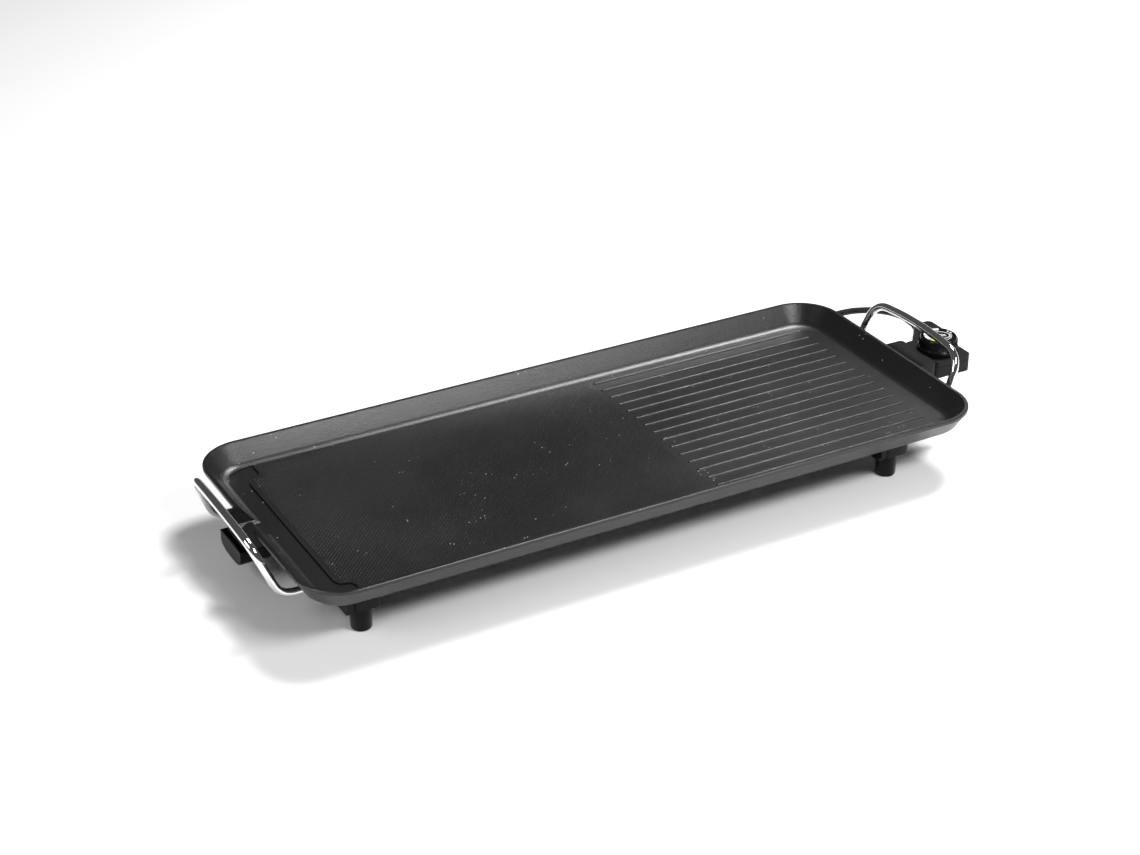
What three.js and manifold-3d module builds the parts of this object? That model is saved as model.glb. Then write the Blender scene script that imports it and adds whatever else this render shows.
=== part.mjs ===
// Electric griddle, built as an assembly of separate pieces.
// Units are millimetres. +X runs along the plate towards the thermostat, +Y to the back, +Z up.
// The pieces are drawn about the plate's centre on the floor, then moved to the frame's origin.

import * as THREE from "three";
import { mergeVertices } from "three/examples/jsm/utils/BufferGeometryUtils.js";
import Module from "manifold-3d";

const wasm = await Module();
wasm.setup();

// ---------------------------------------------------------------- driving dimensions

const FIT_GAP = 0.3; // clearance left between two touching pieces
const CUT_OVERRUN = 1; // how far a cutting solid runs past the face it opens

const PLATE = {
  halfLength: 350,
  halfWidth: 147,
  cornerRadius: 44,
  rimTopZ: 65,
  rimWidth: 3.5,
  lipBottomZ: 61.5,
  lipInset: 1.2,
  wallFootZ: 46.5,
  wallFootInset: 9.5,
  undersideZ: 42,
  undersideInset: 17,
  cookingZ: 46,
  cookingInset: 22,
  filletTopZ: 49.5,
  filletTopInset: 15.5,
  gutterZ: 44.6,
  gutterStepX: -311,
  gutterNotchX: -296,
  gutterNotchHalfY: 104,
  cornerSegments: 14,
};

const RIBS = { count: 15, pitch: 16.5, startX: 64, endX: 312, width: 3.4, height: 1, segments: 4 };

const SPOUT = {
  tipX: -357,
  rootX: -334,
  tipZ: 61,
  troughY: [-2, 32.5],
  shelfY: [-16, -1],
  shelfBottomZ: 47,
  troughBottomZ: 41.5,
  channelY: [0.5, 29.5],
  channelZ: 44.8,
  channelInnerX: -318,
};

const CUP = {
  x: [-362, -329],
  centreY: 16,
  halfWidth: 24,
  topZ: 41,
  bottomZ: 24,
  wall: 1.8,
  tongueX: [-330, -290],
  tongueHalfWidth: 13,
  tongueZ: [37.2, 39.2],
};

const CUP_HANGER = { x: [-324, -298], halfWidth: 19, z: [34.6, 41.7] };

const FOOT = {
  x: [-292, 264],
  y: 107,
  topRadius: 10.6,
  bottomRadius: 9.6,
  height: 27.2,
  edge: 1.6,
};

const BRACKET = {
  halfLength: 14,
  outerY: 125,
  innerY: 66,
  z: [27.5, 41.7],
  corner: 6,
  webThickness: 5,
  webY: [94, 124],
  webBottomZ: 24,
};

const BOSS = { radius: 4.5, bottomZ: 34.6, boreRadius: 2.2, boreTopZ: 41, segments: 16 };

const SCREW = { headRadius: 4, headHeight: 1.9, shankRadius: 1.9, segments: 12 };

const FOOT_SCREW_Y = 92;

const HANDLE = {
  wireRadius: 4,
  sides: 12,
  lowerZ: 33,
  upperZ: 84,
  lowerX: 353,
  upperX: 373.5,
  lowerY: 76,
  upperY: 70,
  arch: 4.5,
  archOut: 1.7,
  endX: [288, 262],
  bendRadius: 15,
  topBendRadius: 22,
  steps: 46,
};

const ELEMENT = {
  radius: 3.5,
  z: 38,
  runY: 54,
  terminalY: 12,
  leftX: -215,
  flareX: 232,
  endX: 352,
  endZ: 44,
  sides: 8,
  steps: 56,
};

const STRAP = { x: [-150, 30, 195], halfLength: 6, halfWidth: 60, z: [33.5, 34.3] };

const SHIELD = { x: [-262, 300], halfWidth: 62, z: [32.2, 33], wall: 0.8, topZ: 40, notchHalfWidth: 19 };

const PIN = { radius: 2.3, x: [354.6, 377], y: 12, z: 44, segments: 12 };

const GUARD = {
  x: [347.6, 379.5],
  halfWidth: 29.5,
  z: [37, 57],
  wall: 2.2,
  corner: 5,
  tongueX: [322, 350],
  tongueY: [20, 29.5],
  tongueZ: [38, 41.7],
};

const CONTROL = {
  x: [380.1, 425],
  halfWidth: 27,
  bottomZ: 36.3,
  splitZ: 48.6,
  topZ: 54.5,
  wall: 2.2,
  corner: 5,
  noseX: 356,
  noseHalfWidth: 26.6,
  noseZ: [39.7, 54.2],
  outletX: [404, 427],
  outletY: [22, 46.5],
  outletTopZ: 61,
  outletBottomZ: 41,
};

const CONTACT = { outerRadius: 3.7, innerRadius: 2.6, x: [357, 384], y: 12, z: 44, segments: 12 };

const PROBE = { radius: 2.9, x: [343.5, 386], z: 44, segments: 12 };

const KNOB = {
  x: 402,
  y: -1,
  baseZ: 55.1,
  topZ: 70,
  skirtRadius: 21,
  bodyRadius: 19.6,
  topRadius: 18.8,
  capRadius: 16.5,
  shaftRadius: 3,
  segments: 36,
};

const CORD = { radius: 3.5, sides: 8, steps: 40 };

const BOOT = { x: 418, z: 53.5, startY: 46.8, endY: 72, startRadius: 6.2, endRadius: 4.3, boreRadius: 3.8 };

// The lead leaves the relief towards the back, turns behind the plate and comes down to the coil.
const CORD_ROUTE = [
  [418, 60, 53.5],
  [418, 74, 53.2],
  [417.5, 90, 51.5],
  [412, 108, 49],
  [400, 124, 46.2],
  [384, 136, 42.5],
  [364, 144.5, 36],
  [342, 148, 28.5],
  [318, 146.5, 21.5],
  [296, 141, 16.2],
  [276, 134.5, 13.2],
  [261, 130.2, 12.3],
];

// Five turns, stored as a bundle two wide and three high.
const COIL = {
  x: 232,
  y: 170,
  midRadius: 38.5,
  halfWidth: 7.2,
  halfHeight: 10.7,
  cornerRadius: 3.6,
  bottomZ: 1.3,
  segments: 36,
};

// The angle is the middle of one flat of the coil's ring.
const TIE = { angle: (31 / 36) * Math.PI, thickness: 1, halfWidth: 3.5 };

const PLUG = {
  backX: 181.5,
  y: COIL.y - COIL.midRadius - COIL.halfWidth / 2,
  radius: 18.5,
  bodyLength: 27,
  reliefLength: 24,
  pinLength: 19,
  pinRadius: 2.4,
  pinSpacing: 19,
  segments: 28,
};

// ---------------------------------------------------------------- materials

const finish = (name, color, roughness, metalness) => {
  const material = new THREE.MeshStandardMaterial({ color, roughness, metalness });
  material.name = name;
  return material;
};

const FINISHES = {
  coating: finish("nonstick_coating", 0x1c1c1d, 0.42, 0.2),
  chrome: finish("chrome_wire", 0xd8d9dc, 0.08, 1),
  plastic: finish("black_plastic", 0x151516, 0.45, 0),
  knobPlastic: finish("knob_plastic", 0x0d0d0e, 0.2, 0),
  dial: finish("dial_print", 0x1a1b1a, 0.35, 0),
  rubber: finish("foot_rubber", 0x101010, 0.7, 0),
  cord: finish("cord_rubber", 0x0e0e0f, 0.55, 0),
  element: finish("element_sheath", 0x6d675f, 0.45, 0.9),
  steel: finish("zinc_steel", 0xa9abad, 0.35, 1),
  sheet: finish("aluminised_sheet", 0x9a9c9e, 0.4, 1),
  brass: finish("brass_contact", 0xb08a45, 0.3, 1),
  ceramic: finish("ceramic_block", 0xe4e0d6, 0.6, 0),
  nickel: finish("nickel_pin", 0xc7c8c9, 0.2, 1),
};

// ---------------------------------------------------------------- geometry helpers

/** Joins coincident corners so that a geometry can be read as a closed body. */
function welded(geometry) {
  const plain = geometry.clone();
  plain.deleteAttribute("normal");
  plain.deleteAttribute("uv");
  return mergeVertices(plain, 1e-4);
}

function toSolid(geometry) {
  const body = welded(geometry);
  const mesh = new wasm.Mesh({
    numProp: 3,
    vertProperties: new Float32Array(body.attributes.position.array),
    triVerts: new Uint32Array(body.index.array),
  });
  return new wasm.Manifold(mesh);
}

function toGeometry(solid) {
  const mesh = solid.getMesh();
  const geometry = new THREE.BufferGeometry();
  geometry.setAttribute("position", new THREE.BufferAttribute(new Float32Array(mesh.vertProperties), 3));
  geometry.setIndex(new THREE.BufferAttribute(new Uint32Array(mesh.triVerts), 1));
  return geometry;
}

/** One solid made of the first geometry with others added, then others taken away. */
function combine(base, added = [], cut = []) {
  let solid = toSolid(base);
  for (const piece of added) {
    solid = solid.add(toSolid(piece));
  }
  for (const piece of cut) {
    solid = solid.subtract(toSolid(piece));
  }
  return toGeometry(solid);
}

/** Corner points of a rounded rectangle, counter-clockwise, with the same count for any size. */
function roundedRectangle(halfX, halfY, radius, segments) {
  const points = [];
  const corners = [
    [1, 1, 0],
    [-1, 1, 1],
    [-1, -1, 2],
    [1, -1, 3],
  ];
  for (const [signX, signY, quarter] of corners) {
    const centreX = signX * (halfX - radius);
    const centreY = signY * (halfY - radius);
    for (let step = 0; step <= segments; step += 1) {
      const angle = ((quarter + step / segments) * Math.PI) / 2;
      points.push([centreX + radius * Math.cos(angle), centreY + radius * Math.sin(angle)]);
    }
  }
  return points;
}

/** A closed body through a stack of loops, each {z, points}, with flat ends. */
function stackLoops(loops) {
  const count = loops[0].points.length;
  const positions = [];
  const index = [];
  for (const { z, points } of loops) {
    for (const [x, y] of points) {
      positions.push(x, y, z);
    }
  }
  for (let level = 0; level + 1 < loops.length; level += 1) {
    for (let step = 0; step < count; step += 1) {
      const a = level * count + step;
      const b = level * count + ((step + 1) % count);
      index.push(a, b, b + count, a, b + count, a + count);
    }
  }
  const top = (loops.length - 1) * count;
  for (let step = 1; step + 1 < count; step += 1) {
    index.push(0, step + 1, step);
    index.push(top, top + step, top + step + 1);
  }
  const geometry = new THREE.BufferGeometry();
  geometry.setAttribute("position", new THREE.Float32BufferAttribute(positions, 3));
  geometry.setIndex(index);
  return geometry;
}

/** A plain block between two corners, its upright edges rounded. */
function block(x, y, z, radius = 0, segments = 4) {
  const halfX = (x[1] - x[0]) / 2;
  const halfY = (y[1] - y[0]) / 2;
  const centre = [(x[0] + x[1]) / 2, (y[0] + y[1]) / 2];
  const outline = radius > 0
    ? roundedRectangle(halfX, halfY, radius, segments)
    : [[halfX, halfY], [-halfX, halfY], [-halfX, -halfY], [halfX, -halfY]];
  const points = outline.map(([px, py]) => [px + centre[0], py + centre[1]]);
  return stackLoops([{ z: z[0], points }, { z: z[1], points }]);
}

const AXIS_TURNS = {
  x: new THREE.Matrix4().set(0, 0, 1, 0, 1, 0, 0, 0, 0, 1, 0, 0, 0, 0, 0, 1),
  y: new THREE.Matrix4().set(0, 1, 0, 0, 0, 0, 1, 0, 1, 0, 0, 0, 0, 0, 0, 1),
  z: new THREE.Matrix4(),
};

/** Extrudes any simple outline along one axis; its points lie in the (y, z), (z, x) or (x, y) plane. */
function prismAlong(axis, outline, from, to) {
  const shape = new THREE.Shape(outline.map(([u, v]) => new THREE.Vector2(u, v)));
  const geometry = new THREE.ExtrudeGeometry(shape, { depth: to - from, bevelEnabled: false });
  geometry.translate(0, 0, from);
  geometry.applyMatrix4(AXIS_TURNS[axis]);
  return geometry;
}

/** A cylinder or cone between two values of one axis. */
function rod(axis, radiusFrom, radiusTo, from, to, centre, segments) {
  const geometry = new THREE.CylinderGeometry(radiusTo, radiusFrom, to - from, segments);
  geometry.translate(0, (from + to) / 2, 0);
  if (axis === "x") {
    geometry.rotateZ(-Math.PI / 2);
    geometry.translate(0, centre[0], centre[1]);
  }
  if (axis === "y") {
    geometry.translate(centre[0], 0, centre[1]);
  }
  if (axis === "z") {
    geometry.rotateX(Math.PI / 2);
    geometry.translate(centre[0], centre[1], 0);
  }
  return geometry;
}

/** A turned body about an upright axis; the profile is a list of [radius, z]. */
function turned(profile, x, y, segments) {
  const points = profile.map(([radius, z]) => new THREE.Vector2(radius, z));
  const geometry = new THREE.LatheGeometry(points, segments);
  geometry.rotateX(Math.PI / 2);
  geometry.translate(x, y, 0);
  return geometry;
}

/** Replaces each inner corner of a route by an arc of about the given radius. */
function roundedRoute(points, radii, stepsPerBend = 7) {
  const route = [points[0].clone()];
  for (let i = 1; i + 1 < points.length; i += 1) {
    const before = points[i - 1].clone().sub(points[i]);
    const after = points[i + 1].clone().sub(points[i]);
    const angle = before.angleTo(after);
    const reach = Math.min(
      radii[i - 1] / Math.tan(angle / 2),
      before.length() * 0.48,
      after.length() * 0.48,
    );
    const start = points[i].clone().addScaledVector(before.normalize(), reach);
    const end = points[i].clone().addScaledVector(after.normalize(), reach);
    const bend = new THREE.QuadraticBezierCurve3(start, points[i], end);
    route.push(...bend.getPoints(stepsPerBend));
  }
  route.push(points[points.length - 1].clone());
  return route;
}

/** A round bar of constant radius along a smooth route. */
function tube(points, radius, sides, steps) {
  const shape = new THREE.Shape();
  for (let side = 0; side < sides; side += 1) {
    const angle = (2 * Math.PI * side) / sides;
    const x = radius * Math.cos(angle);
    const y = radius * Math.sin(angle);
    if (side === 0) {
      shape.moveTo(x, y);
    } else {
      shape.lineTo(x, y);
    }
  }
  shape.closePath();
  const path = new THREE.CatmullRomCurve3(points, false, "centripetal");
  path.arcLengthDivisions = 400;
  return new THREE.ExtrudeGeometry(shape, { steps, extrudePath: path, bevelEnabled: false });
}

const vector = (x, y, z) => new THREE.Vector3(x, y, z);

// ---------------------------------------------------------------- plate

function plateLoop(inset, z) {
  const radius = Math.max(PLATE.cornerRadius - inset, 12);
  const points = roundedRectangle(
    PLATE.halfLength - inset,
    PLATE.halfWidth - inset,
    radius,
    PLATE.cornerSegments,
  );
  return { z, points };
}

function plateOuter() {
  return stackLoops([
    plateLoop(PLATE.undersideInset, PLATE.undersideZ),
    plateLoop((PLATE.undersideInset + PLATE.wallFootInset) / 2, PLATE.undersideZ + 1.3),
    plateLoop(PLATE.wallFootInset, PLATE.wallFootZ),
    plateLoop(PLATE.lipInset, PLATE.lipBottomZ - 1),
    plateLoop(0, PLATE.lipBottomZ),
    plateLoop(0, PLATE.rimTopZ - 0.6),
    plateLoop(0.6, PLATE.rimTopZ),
  ]);
}

function plateBasin() {
  const edge = PLATE.rimWidth;
  return stackLoops([
    plateLoop(PLATE.cookingInset, PLATE.cookingZ),
    plateLoop((PLATE.cookingInset + PLATE.filletTopInset) / 2, PLATE.cookingZ + 0.9),
    plateLoop(PLATE.filletTopInset, PLATE.filletTopZ),
    plateLoop(edge + 1.2, PLATE.rimTopZ - 1.2),
    plateLoop(edge, PLATE.rimTopZ),
    plateLoop(edge, PLATE.rimTopZ + CUT_OVERRUN),
  ]);
}

/** The grease gutter across the left end, wider beside the corners than in the middle. */
function gutterPocket() {
  const inset = PLATE.cookingInset - 0.5;
  const { gutterStepX, gutterNotchX, gutterNotchHalfY } = PLATE;
  const endX = -PLATE.halfLength + inset;
  const halfY = PLATE.halfWidth - inset;
  const round = PLATE.cornerRadius - inset;
  const outline = [
    [gutterNotchX, halfY],
    [endX + round, halfY],
    [endX + round * 0.3, halfY - round * 0.3],
    [endX, halfY - round],
    [endX, -halfY + round],
    [endX + round * 0.3, -halfY + round * 0.3],
    [endX + round, -halfY],
    [gutterNotchX, -halfY],
    [gutterNotchX, -gutterNotchHalfY - 6],
    [gutterNotchX - 3, -gutterNotchHalfY - 1],
    [gutterStepX + 3, -gutterNotchHalfY + 2],
    [gutterStepX, -gutterNotchHalfY + 9],
    [gutterStepX, gutterNotchHalfY - 9],
    [gutterStepX + 3, gutterNotchHalfY - 2],
    [gutterNotchX - 3, gutterNotchHalfY + 1],
    [gutterNotchX, gutterNotchHalfY + 6],
  ];
  return prismAlong("z", outline, PLATE.gutterZ, PLATE.cookingZ + 2);
}

/** One shallow cooking rib, rounded across its top and tapered at both ends. */
function cookingRib(y) {
  const half = RIBS.width / 2;
  const base = PLATE.cookingZ - 0.5;
  const top = PLATE.cookingZ + RIBS.height;
  const length = (RIBS.endX - RIBS.startX) / 2;
  const centreX = (RIBS.endX + RIBS.startX) / 2;
  const loop = (halfX, halfY, z) => {
    const points = roundedRectangle(halfX, halfY, halfY * 0.95, RIBS.segments);
    return { z, points: points.map(([px, py]) => [px + centreX, py + y]) };
  };
  return stackLoops([loop(length, half, base), loop(length - 1.5, half * 0.5, top)]);
}

function cookingRibs() {
  const first = (-(RIBS.count - 1) * RIBS.pitch) / 2;
  return Array.from({ length: RIBS.count }, (_, i) => cookingRib(first + i * RIBS.pitch));
}

/** The spout's side profile, from the wall out to the lower tip. */
function spoutProfile(bottomZ) {
  return [
    [SPOUT.rootX, bottomZ],
    [SPOUT.rootX, PLATE.rimTopZ - 6],
    [-PLATE.halfLength + 2.5, PLATE.rimTopZ],
    [-PLATE.halfLength + 0.5, PLATE.rimTopZ],
    [SPOUT.tipX, SPOUT.tipZ],
    [SPOUT.tipX, bottomZ],
  ];
}

function spoutPart(bottomZ, y) {
  const outline = spoutProfile(bottomZ).map(([x, z]) => [z, x]);
  return prismAlong("y", outline, y[0], y[1]);
}

function spoutChannel() {
  const { channelY, channelZ, tipX, channelInnerX } = SPOUT;
  const outline = [
    [channelY[0], PLATE.rimTopZ + CUT_OVERRUN],
    [channelY[0], channelZ + 3],
    [channelY[0] + 3, channelZ],
    [channelY[1] - 3, channelZ],
    [channelY[1], channelZ + 3],
    [channelY[1], PLATE.rimTopZ + CUT_OVERRUN],
  ];
  return prismAlong("x", outline, tipX - CUT_OVERRUN, channelInnerX);
}

function bossPositions() {
  const positions = STRAP.x.map((x) => [x, 0]);
  for (const x of FOOT.x) {
    positions.push([x, FOOT_SCREW_Y - 6], [x, -FOOT_SCREW_Y + 6]);
  }
  return positions;
}

function griddlePlate() {
  const bosses = bossPositions();
  const posts = bosses.map((centre) => rod(
    "z", BOSS.radius, BOSS.radius, BOSS.bottomZ, PLATE.undersideZ + 0.5, centre, BOSS.segments,
  ));
  const bores = bosses.map((centre) => rod(
    "z", BOSS.boreRadius, BOSS.boreRadius, BOSS.bottomZ - CUT_OVERRUN, BOSS.boreTopZ, centre, 12,
  ));
  const shell = combine(
    plateOuter(),
    [spoutPart(SPOUT.troughBottomZ, SPOUT.troughY), spoutPart(SPOUT.shelfBottomZ, SPOUT.shelfY), ...posts],
    [plateBasin(), gutterPocket(), spoutChannel(), ...bores],
  );
  return combine(shell, cookingRibs());
}

// ---------------------------------------------------------------- underside

function heatingElement() {
  const { z, runY, terminalY, leftX, flareX, endX, endZ } = ELEMENT;
  const corners = [
    vector(endX, -terminalY, endZ),
    vector(346.5, -terminalY, z - 0.2),
    vector(286, -terminalY, z),
    vector(flareX, -runY, z),
    vector(leftX, -runY, z),
    vector(leftX, runY, z),
    vector(flareX, runY, z),
    vector(286, terminalY, z),
    vector(346.5, terminalY, z - 0.2),
    vector(endX, terminalY, endZ),
  ];
  const route = roundedRoute(corners, [6, 20, 26, 34, 34, 26, 20, 6]);
  return tube(route, ELEMENT.radius, ELEMENT.sides, ELEMENT.steps);
}

function elementStrap(x) {
  const strap = block(
    [x - STRAP.halfLength, x + STRAP.halfLength],
    [-STRAP.halfWidth, STRAP.halfWidth],
    STRAP.z,
    3,
  );
  return combine(strap, [], [rod("z", 2.3, 2.3, STRAP.z[0] - 1, STRAP.z[1] + 1, [x, 0], 14)]);
}

function heatShield() {
  const { x, halfWidth, z, wall, topZ, notchHalfWidth } = SHIELD;
  const tray = block(x, [-halfWidth, halfWidth], [z[0], topZ], 12);
  const inside = block(
    [x[0] + wall, x[1] - wall],
    [-halfWidth + wall, halfWidth - wall],
    [z[1], topZ + CUT_OVERRUN],
    12 - wall,
  );
  const notch = block(
    [x[1] - 4, x[1] + CUT_OVERRUN],
    [-notchHalfWidth, notchHalfWidth],
    [z[1], topZ + CUT_OVERRUN],
  );
  const holes = STRAP.x.map((centre) => rod("z", 2.3, 2.3, z[0] - 1, z[1] + 1, [centre, 0], 14));
  return combine(tray, [], [inside, notch, ...holes]);
}

/** A pan-head screw, head down, with its shank up to topZ. */
function panScrew(x, y, headTopZ, topZ) {
  const { headRadius, headHeight, shankRadius, segments } = SCREW;
  const base = headTopZ - headHeight;
  const profile = [
    [0, base],
    [headRadius * 0.72, base],
    [headRadius, base + headHeight * 0.45],
    [headRadius, headTopZ],
    [shankRadius, headTopZ],
    [shankRadius, topZ - 0.8],
    [shankRadius * 0.5, topZ],
    [0, topZ],
  ];
  return turned(profile, x, y, segments);
}

// ---------------------------------------------------------------- feet and brackets

/** One moulded bracket: a rounded block with a side web, bored for the handle wire and a screw. */
function footBracket(x, side) {
  const { halfLength, outerY, innerY, z, corner, webThickness, webY, webBottomZ } = BRACKET;
  const ordered = (values) => values.map((value) => value * side).sort((a, b) => a - b);
  const body = block([x - halfLength, x + halfLength], ordered([innerY, outerY]), z, corner);
  const web = block(
    [x - halfLength - webThickness, x - halfLength + 1],
    ordered(webY),
    [webBottomZ + 4, z[1]],
  );
  const webFoot = block(
    [x - halfLength - webThickness, x - halfLength + 1],
    ordered([webY[0] + 4, webY[1] - 4]),
    [webBottomZ, webBottomZ + 4.5],
  );
  const wireBore = rod(
    "x",
    HANDLE.wireRadius + FIT_GAP,
    HANDLE.wireRadius + FIT_GAP,
    x - halfLength - webThickness - CUT_OVERRUN,
    x + halfLength + CUT_OVERRUN,
    [HANDLE.lowerY * side, HANDLE.lowerZ],
    20,
  );
  const screwY = (FOOT_SCREW_Y - 6) * side;
  const bossPocket = rod("z", BOSS.radius + 0.4, BOSS.radius + 0.4, BOSS.bottomZ - 0.4, z[1] + 1, [x, screwY], 18);
  const shankHole = rod("z", 2.3, 2.3, z[0] - 1, BOSS.bottomZ, [x, screwY], 14);
  const headPocket = rod("z", 4.5, 4.5, z[0] - 1, z[0] + 3.2, [x, screwY], 18);
  return combine(body, [web, webFoot], [wireBore, bossPocket, shankHole, headPocket]);
}

function foot(x, y) {
  const { topRadius, bottomRadius, height, edge } = FOOT;
  const profile = [
    [0, 0],
    [bottomRadius - edge, 0],
    [bottomRadius - edge * 0.3, edge * 0.3],
    [bottomRadius, edge],
    [topRadius, height],
    [0, height],
  ];
  return turned(profile, x, y, 24);
}

// ---------------------------------------------------------------- handles

/** Half of the arched crossbar, from one end to the middle, as corner points. */
function crossbarPoints(direction) {
  const { upperX, upperY, upperZ, arch, archOut } = HANDLE;
  const spots = [-0.66, -0.33, 0, 0.33, 0.66];
  return spots.map((t) => {
    const rise = 1 - t * t;
    return vector(direction * (upperX + archOut * rise), upperY * t, upperZ + arch * rise);
  });
}

function wireHandle(direction, endX) {
  const { lowerX, lowerY, lowerZ, upperX, upperY, upperZ, bendRadius, topBendRadius } = HANDLE;
  const corners = [
    vector(direction * endX, -lowerY, lowerZ),
    vector(direction * lowerX, -lowerY, lowerZ),
    vector(direction * upperX, -upperY, upperZ),
    ...crossbarPoints(direction),
    vector(direction * upperX, upperY, upperZ),
    vector(direction * lowerX, lowerY, lowerZ),
    vector(direction * endX, lowerY, lowerZ),
  ];
  const radii = [bendRadius, topBendRadius, 60, 60, 60, 60, 60, topBendRadius, bendRadius];
  const route = roundedRoute(corners, radii);
  return tube(route, HANDLE.wireRadius, HANDLE.sides, HANDLE.steps);
}

// ---------------------------------------------------------------- drip cup

/** The cup's outline seen along X: straight sides and a deep rounded bottom. */
function cupOutline(halfWidth, topZ, bottomZ) {
  const points = [[CUP.centreY + halfWidth, topZ]];
  const segments = 10;
  const depth = topZ - bottomZ;
  for (let step = 0; step <= segments; step += 1) {
    const angle = (Math.PI * step) / segments;
    const flat = Math.sign(Math.cos(angle)) * Math.abs(Math.cos(angle)) ** 0.7;
    const deep = Math.sin(angle) ** 0.7;
    points.push([CUP.centreY + halfWidth * flat, topZ - 6 - (depth - 6) * deep]);
  }
  points.push([CUP.centreY - halfWidth, topZ]);
  return points.reverse();
}

function dripCup() {
  const outer = prismAlong("x", cupOutline(CUP.halfWidth, CUP.topZ, CUP.bottomZ), CUP.x[0], CUP.x[1]);
  const inner = prismAlong(
    "x",
    cupOutline(CUP.halfWidth - CUP.wall, CUP.topZ + CUT_OVERRUN, CUP.bottomZ + CUP.wall),
    CUP.x[0] + CUP.wall,
    CUP.x[1] - CUP.wall,
  );
  const tongue = block(
    [CUP.tongueX[0] - 0.8, CUP.tongueX[1]],
    [CUP.centreY - CUP.tongueHalfWidth, CUP.centreY + CUP.tongueHalfWidth],
    CUP.tongueZ,
  );
  return combine(outer, [tongue], [inner]);
}

function cupHanger() {
  const { x, halfWidth, z } = CUP_HANGER;
  const body = block(x, [CUP.centreY - halfWidth, CUP.centreY + halfWidth], z, 3);
  const slotHalf = CUP.tongueHalfWidth + 0.4;
  const slot = block(
    [x[0] - 1, x[1] + 1],
    [CUP.centreY - slotHalf, CUP.centreY + slotHalf],
    [CUP.tongueZ[0] - 0.4, CUP.tongueZ[1] + 0.4],
  );
  return combine(body, [], [slot]);
}

// ---------------------------------------------------------------- socket

function terminalPin(side) {
  return rod("x", PIN.radius, PIN.radius * 0.8, PIN.x[0] + FIT_GAP, PIN.x[1], [PIN.y * side, PIN.z], PIN.segments);
}

function socketGuard() {
  const { x, halfWidth, z, wall, corner, tongueX, tongueY, tongueZ } = GUARD;
  const body = block(x, [-halfWidth, halfWidth], z, corner);
  const squareInner = block([x[0] - 1, x[0] + 9], [-halfWidth - 1, halfWidth + 1], [z[0] - 1, z[1] + 1]);
  const collar = block([x[0], x[0] + 12], [-halfWidth, halfWidth], z);
  const cavity = block(
    [x[0] - 1, x[1] + 1],
    [-halfWidth + wall, halfWidth - wall],
    [z[0] + wall, z[1] - wall],
  );
  const tongues = [-1, 1].map((side) => block(
    tongueX,
    [side * tongueY[0], side * tongueY[1]].sort((a, b) => a - b),
    tongueZ,
  ));
  const rounded = combine(body, [], [squareInner]);
  return combine(rounded, [collar, ...tongues], [cavity]);
}

// ---------------------------------------------------------------- thermostat control

function controlBase() {
  const { x, halfWidth, bottomZ, splitZ, wall, corner, noseX, noseHalfWidth, noseZ } = CONTROL;
  const { outletX, outletY, outletBottomZ } = CONTROL;
  const body = block(x, [-halfWidth, halfWidth], [bottomZ, splitZ], corner);
  const outlet = block(
    [outletX[0], outletX[1] - 2],
    [outletY[0], outletY[1]],
    [outletBottomZ, splitZ],
    4,
  );
  const nose = block([noseX, x[0] + 0.2], [-noseHalfWidth, noseHalfWidth], noseZ, 0);
  const pocket = block(
    [x[0] + wall, x[1] - wall],
    [-halfWidth + wall, halfWidth - wall],
    [bottomZ + wall, splitZ + CUT_OVERRUN],
    corner - wall,
  );
  const bores = [-1, 1].map((side) => rod(
    "x", CONTACT.outerRadius + 0.3, CONTACT.outerRadius + 0.3, noseX - 1, x[0] + wall + 1,
    [CONTACT.y * side, CONTACT.z], 18,
  ));
  const probeBore = rod("x", PROBE.radius + 0.3, PROBE.radius + 0.3, noseX - 1, x[0] + wall + 1, [0, PROBE.z], 18);
  return combine(body, [outlet, nose], [pocket, ...bores, probeBore]);
}

function controlCover() {
  const { x, halfWidth, splitZ, topZ, wall, corner, outletX, outletY, outletTopZ } = CONTROL;
  const low = splitZ + FIT_GAP;
  const body = block(
    [x[0] + 2 * FIT_GAP, x[1]],
    [-halfWidth, halfWidth],
    [low, topZ],
    corner,
  );
  const outlet = block(outletX, outletY, [low, outletTopZ], 5, 5);
  const pocket = block(
    [x[0] + wall, x[1] - wall],
    [-halfWidth + wall, halfWidth - wall],
    [low - 1, topZ - wall],
    corner - wall,
  );
  const outletPocket = block(
    [outletX[0] + wall, outletX[1] - wall],
    [outletY[0] - 2, outletY[1] - wall],
    [low - 1, outletTopZ - wall],
    2,
  );
  const shaftHole = rod("z", KNOB.shaftRadius + 0.3, KNOB.shaftRadius + 0.3, topZ - 4, topZ + 1, [KNOB.x, KNOB.y], 24);
  const cordHole = rod("y", 4.2, 4.2, outletY[1] - 4, outletY[1] + 1, [BOOT.x, BOOT.z], 20);
  return combine(body, [outlet], [pocket, outletPocket, shaftHole, cordHole]);
}

function contactSleeve(side) {
  const centre = [CONTACT.y * side, CONTACT.z];
  const outer = rod("x", CONTACT.outerRadius, CONTACT.outerRadius, CONTACT.x[0], CONTACT.x[1], centre, CONTACT.segments);
  const bore = rod(
    "x", CONTACT.innerRadius, CONTACT.innerRadius, CONTACT.x[0] - 1, CONTACT.x[1] - 3, centre, CONTACT.segments,
  );
  return combine(outer, [], [bore]);
}

function sensingProbe() {
  const { radius, x, z, segments } = PROBE;
  const points = [
    new THREE.Vector2(0, x[0]),
    new THREE.Vector2(radius * 0.6, x[0] + 0.6),
    new THREE.Vector2(radius, x[0] + 2.2),
    new THREE.Vector2(radius, x[1]),
    new THREE.Vector2(0, x[1]),
  ];
  const geometry = new THREE.LatheGeometry(points, segments);
  geometry.rotateZ(-Math.PI / 2);
  geometry.translate(0, 0, z);
  return geometry;
}

function switchBlock() {
  return block([388.5, 395], [-15, 15], [38.8, 45], 1.5);
}

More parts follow.
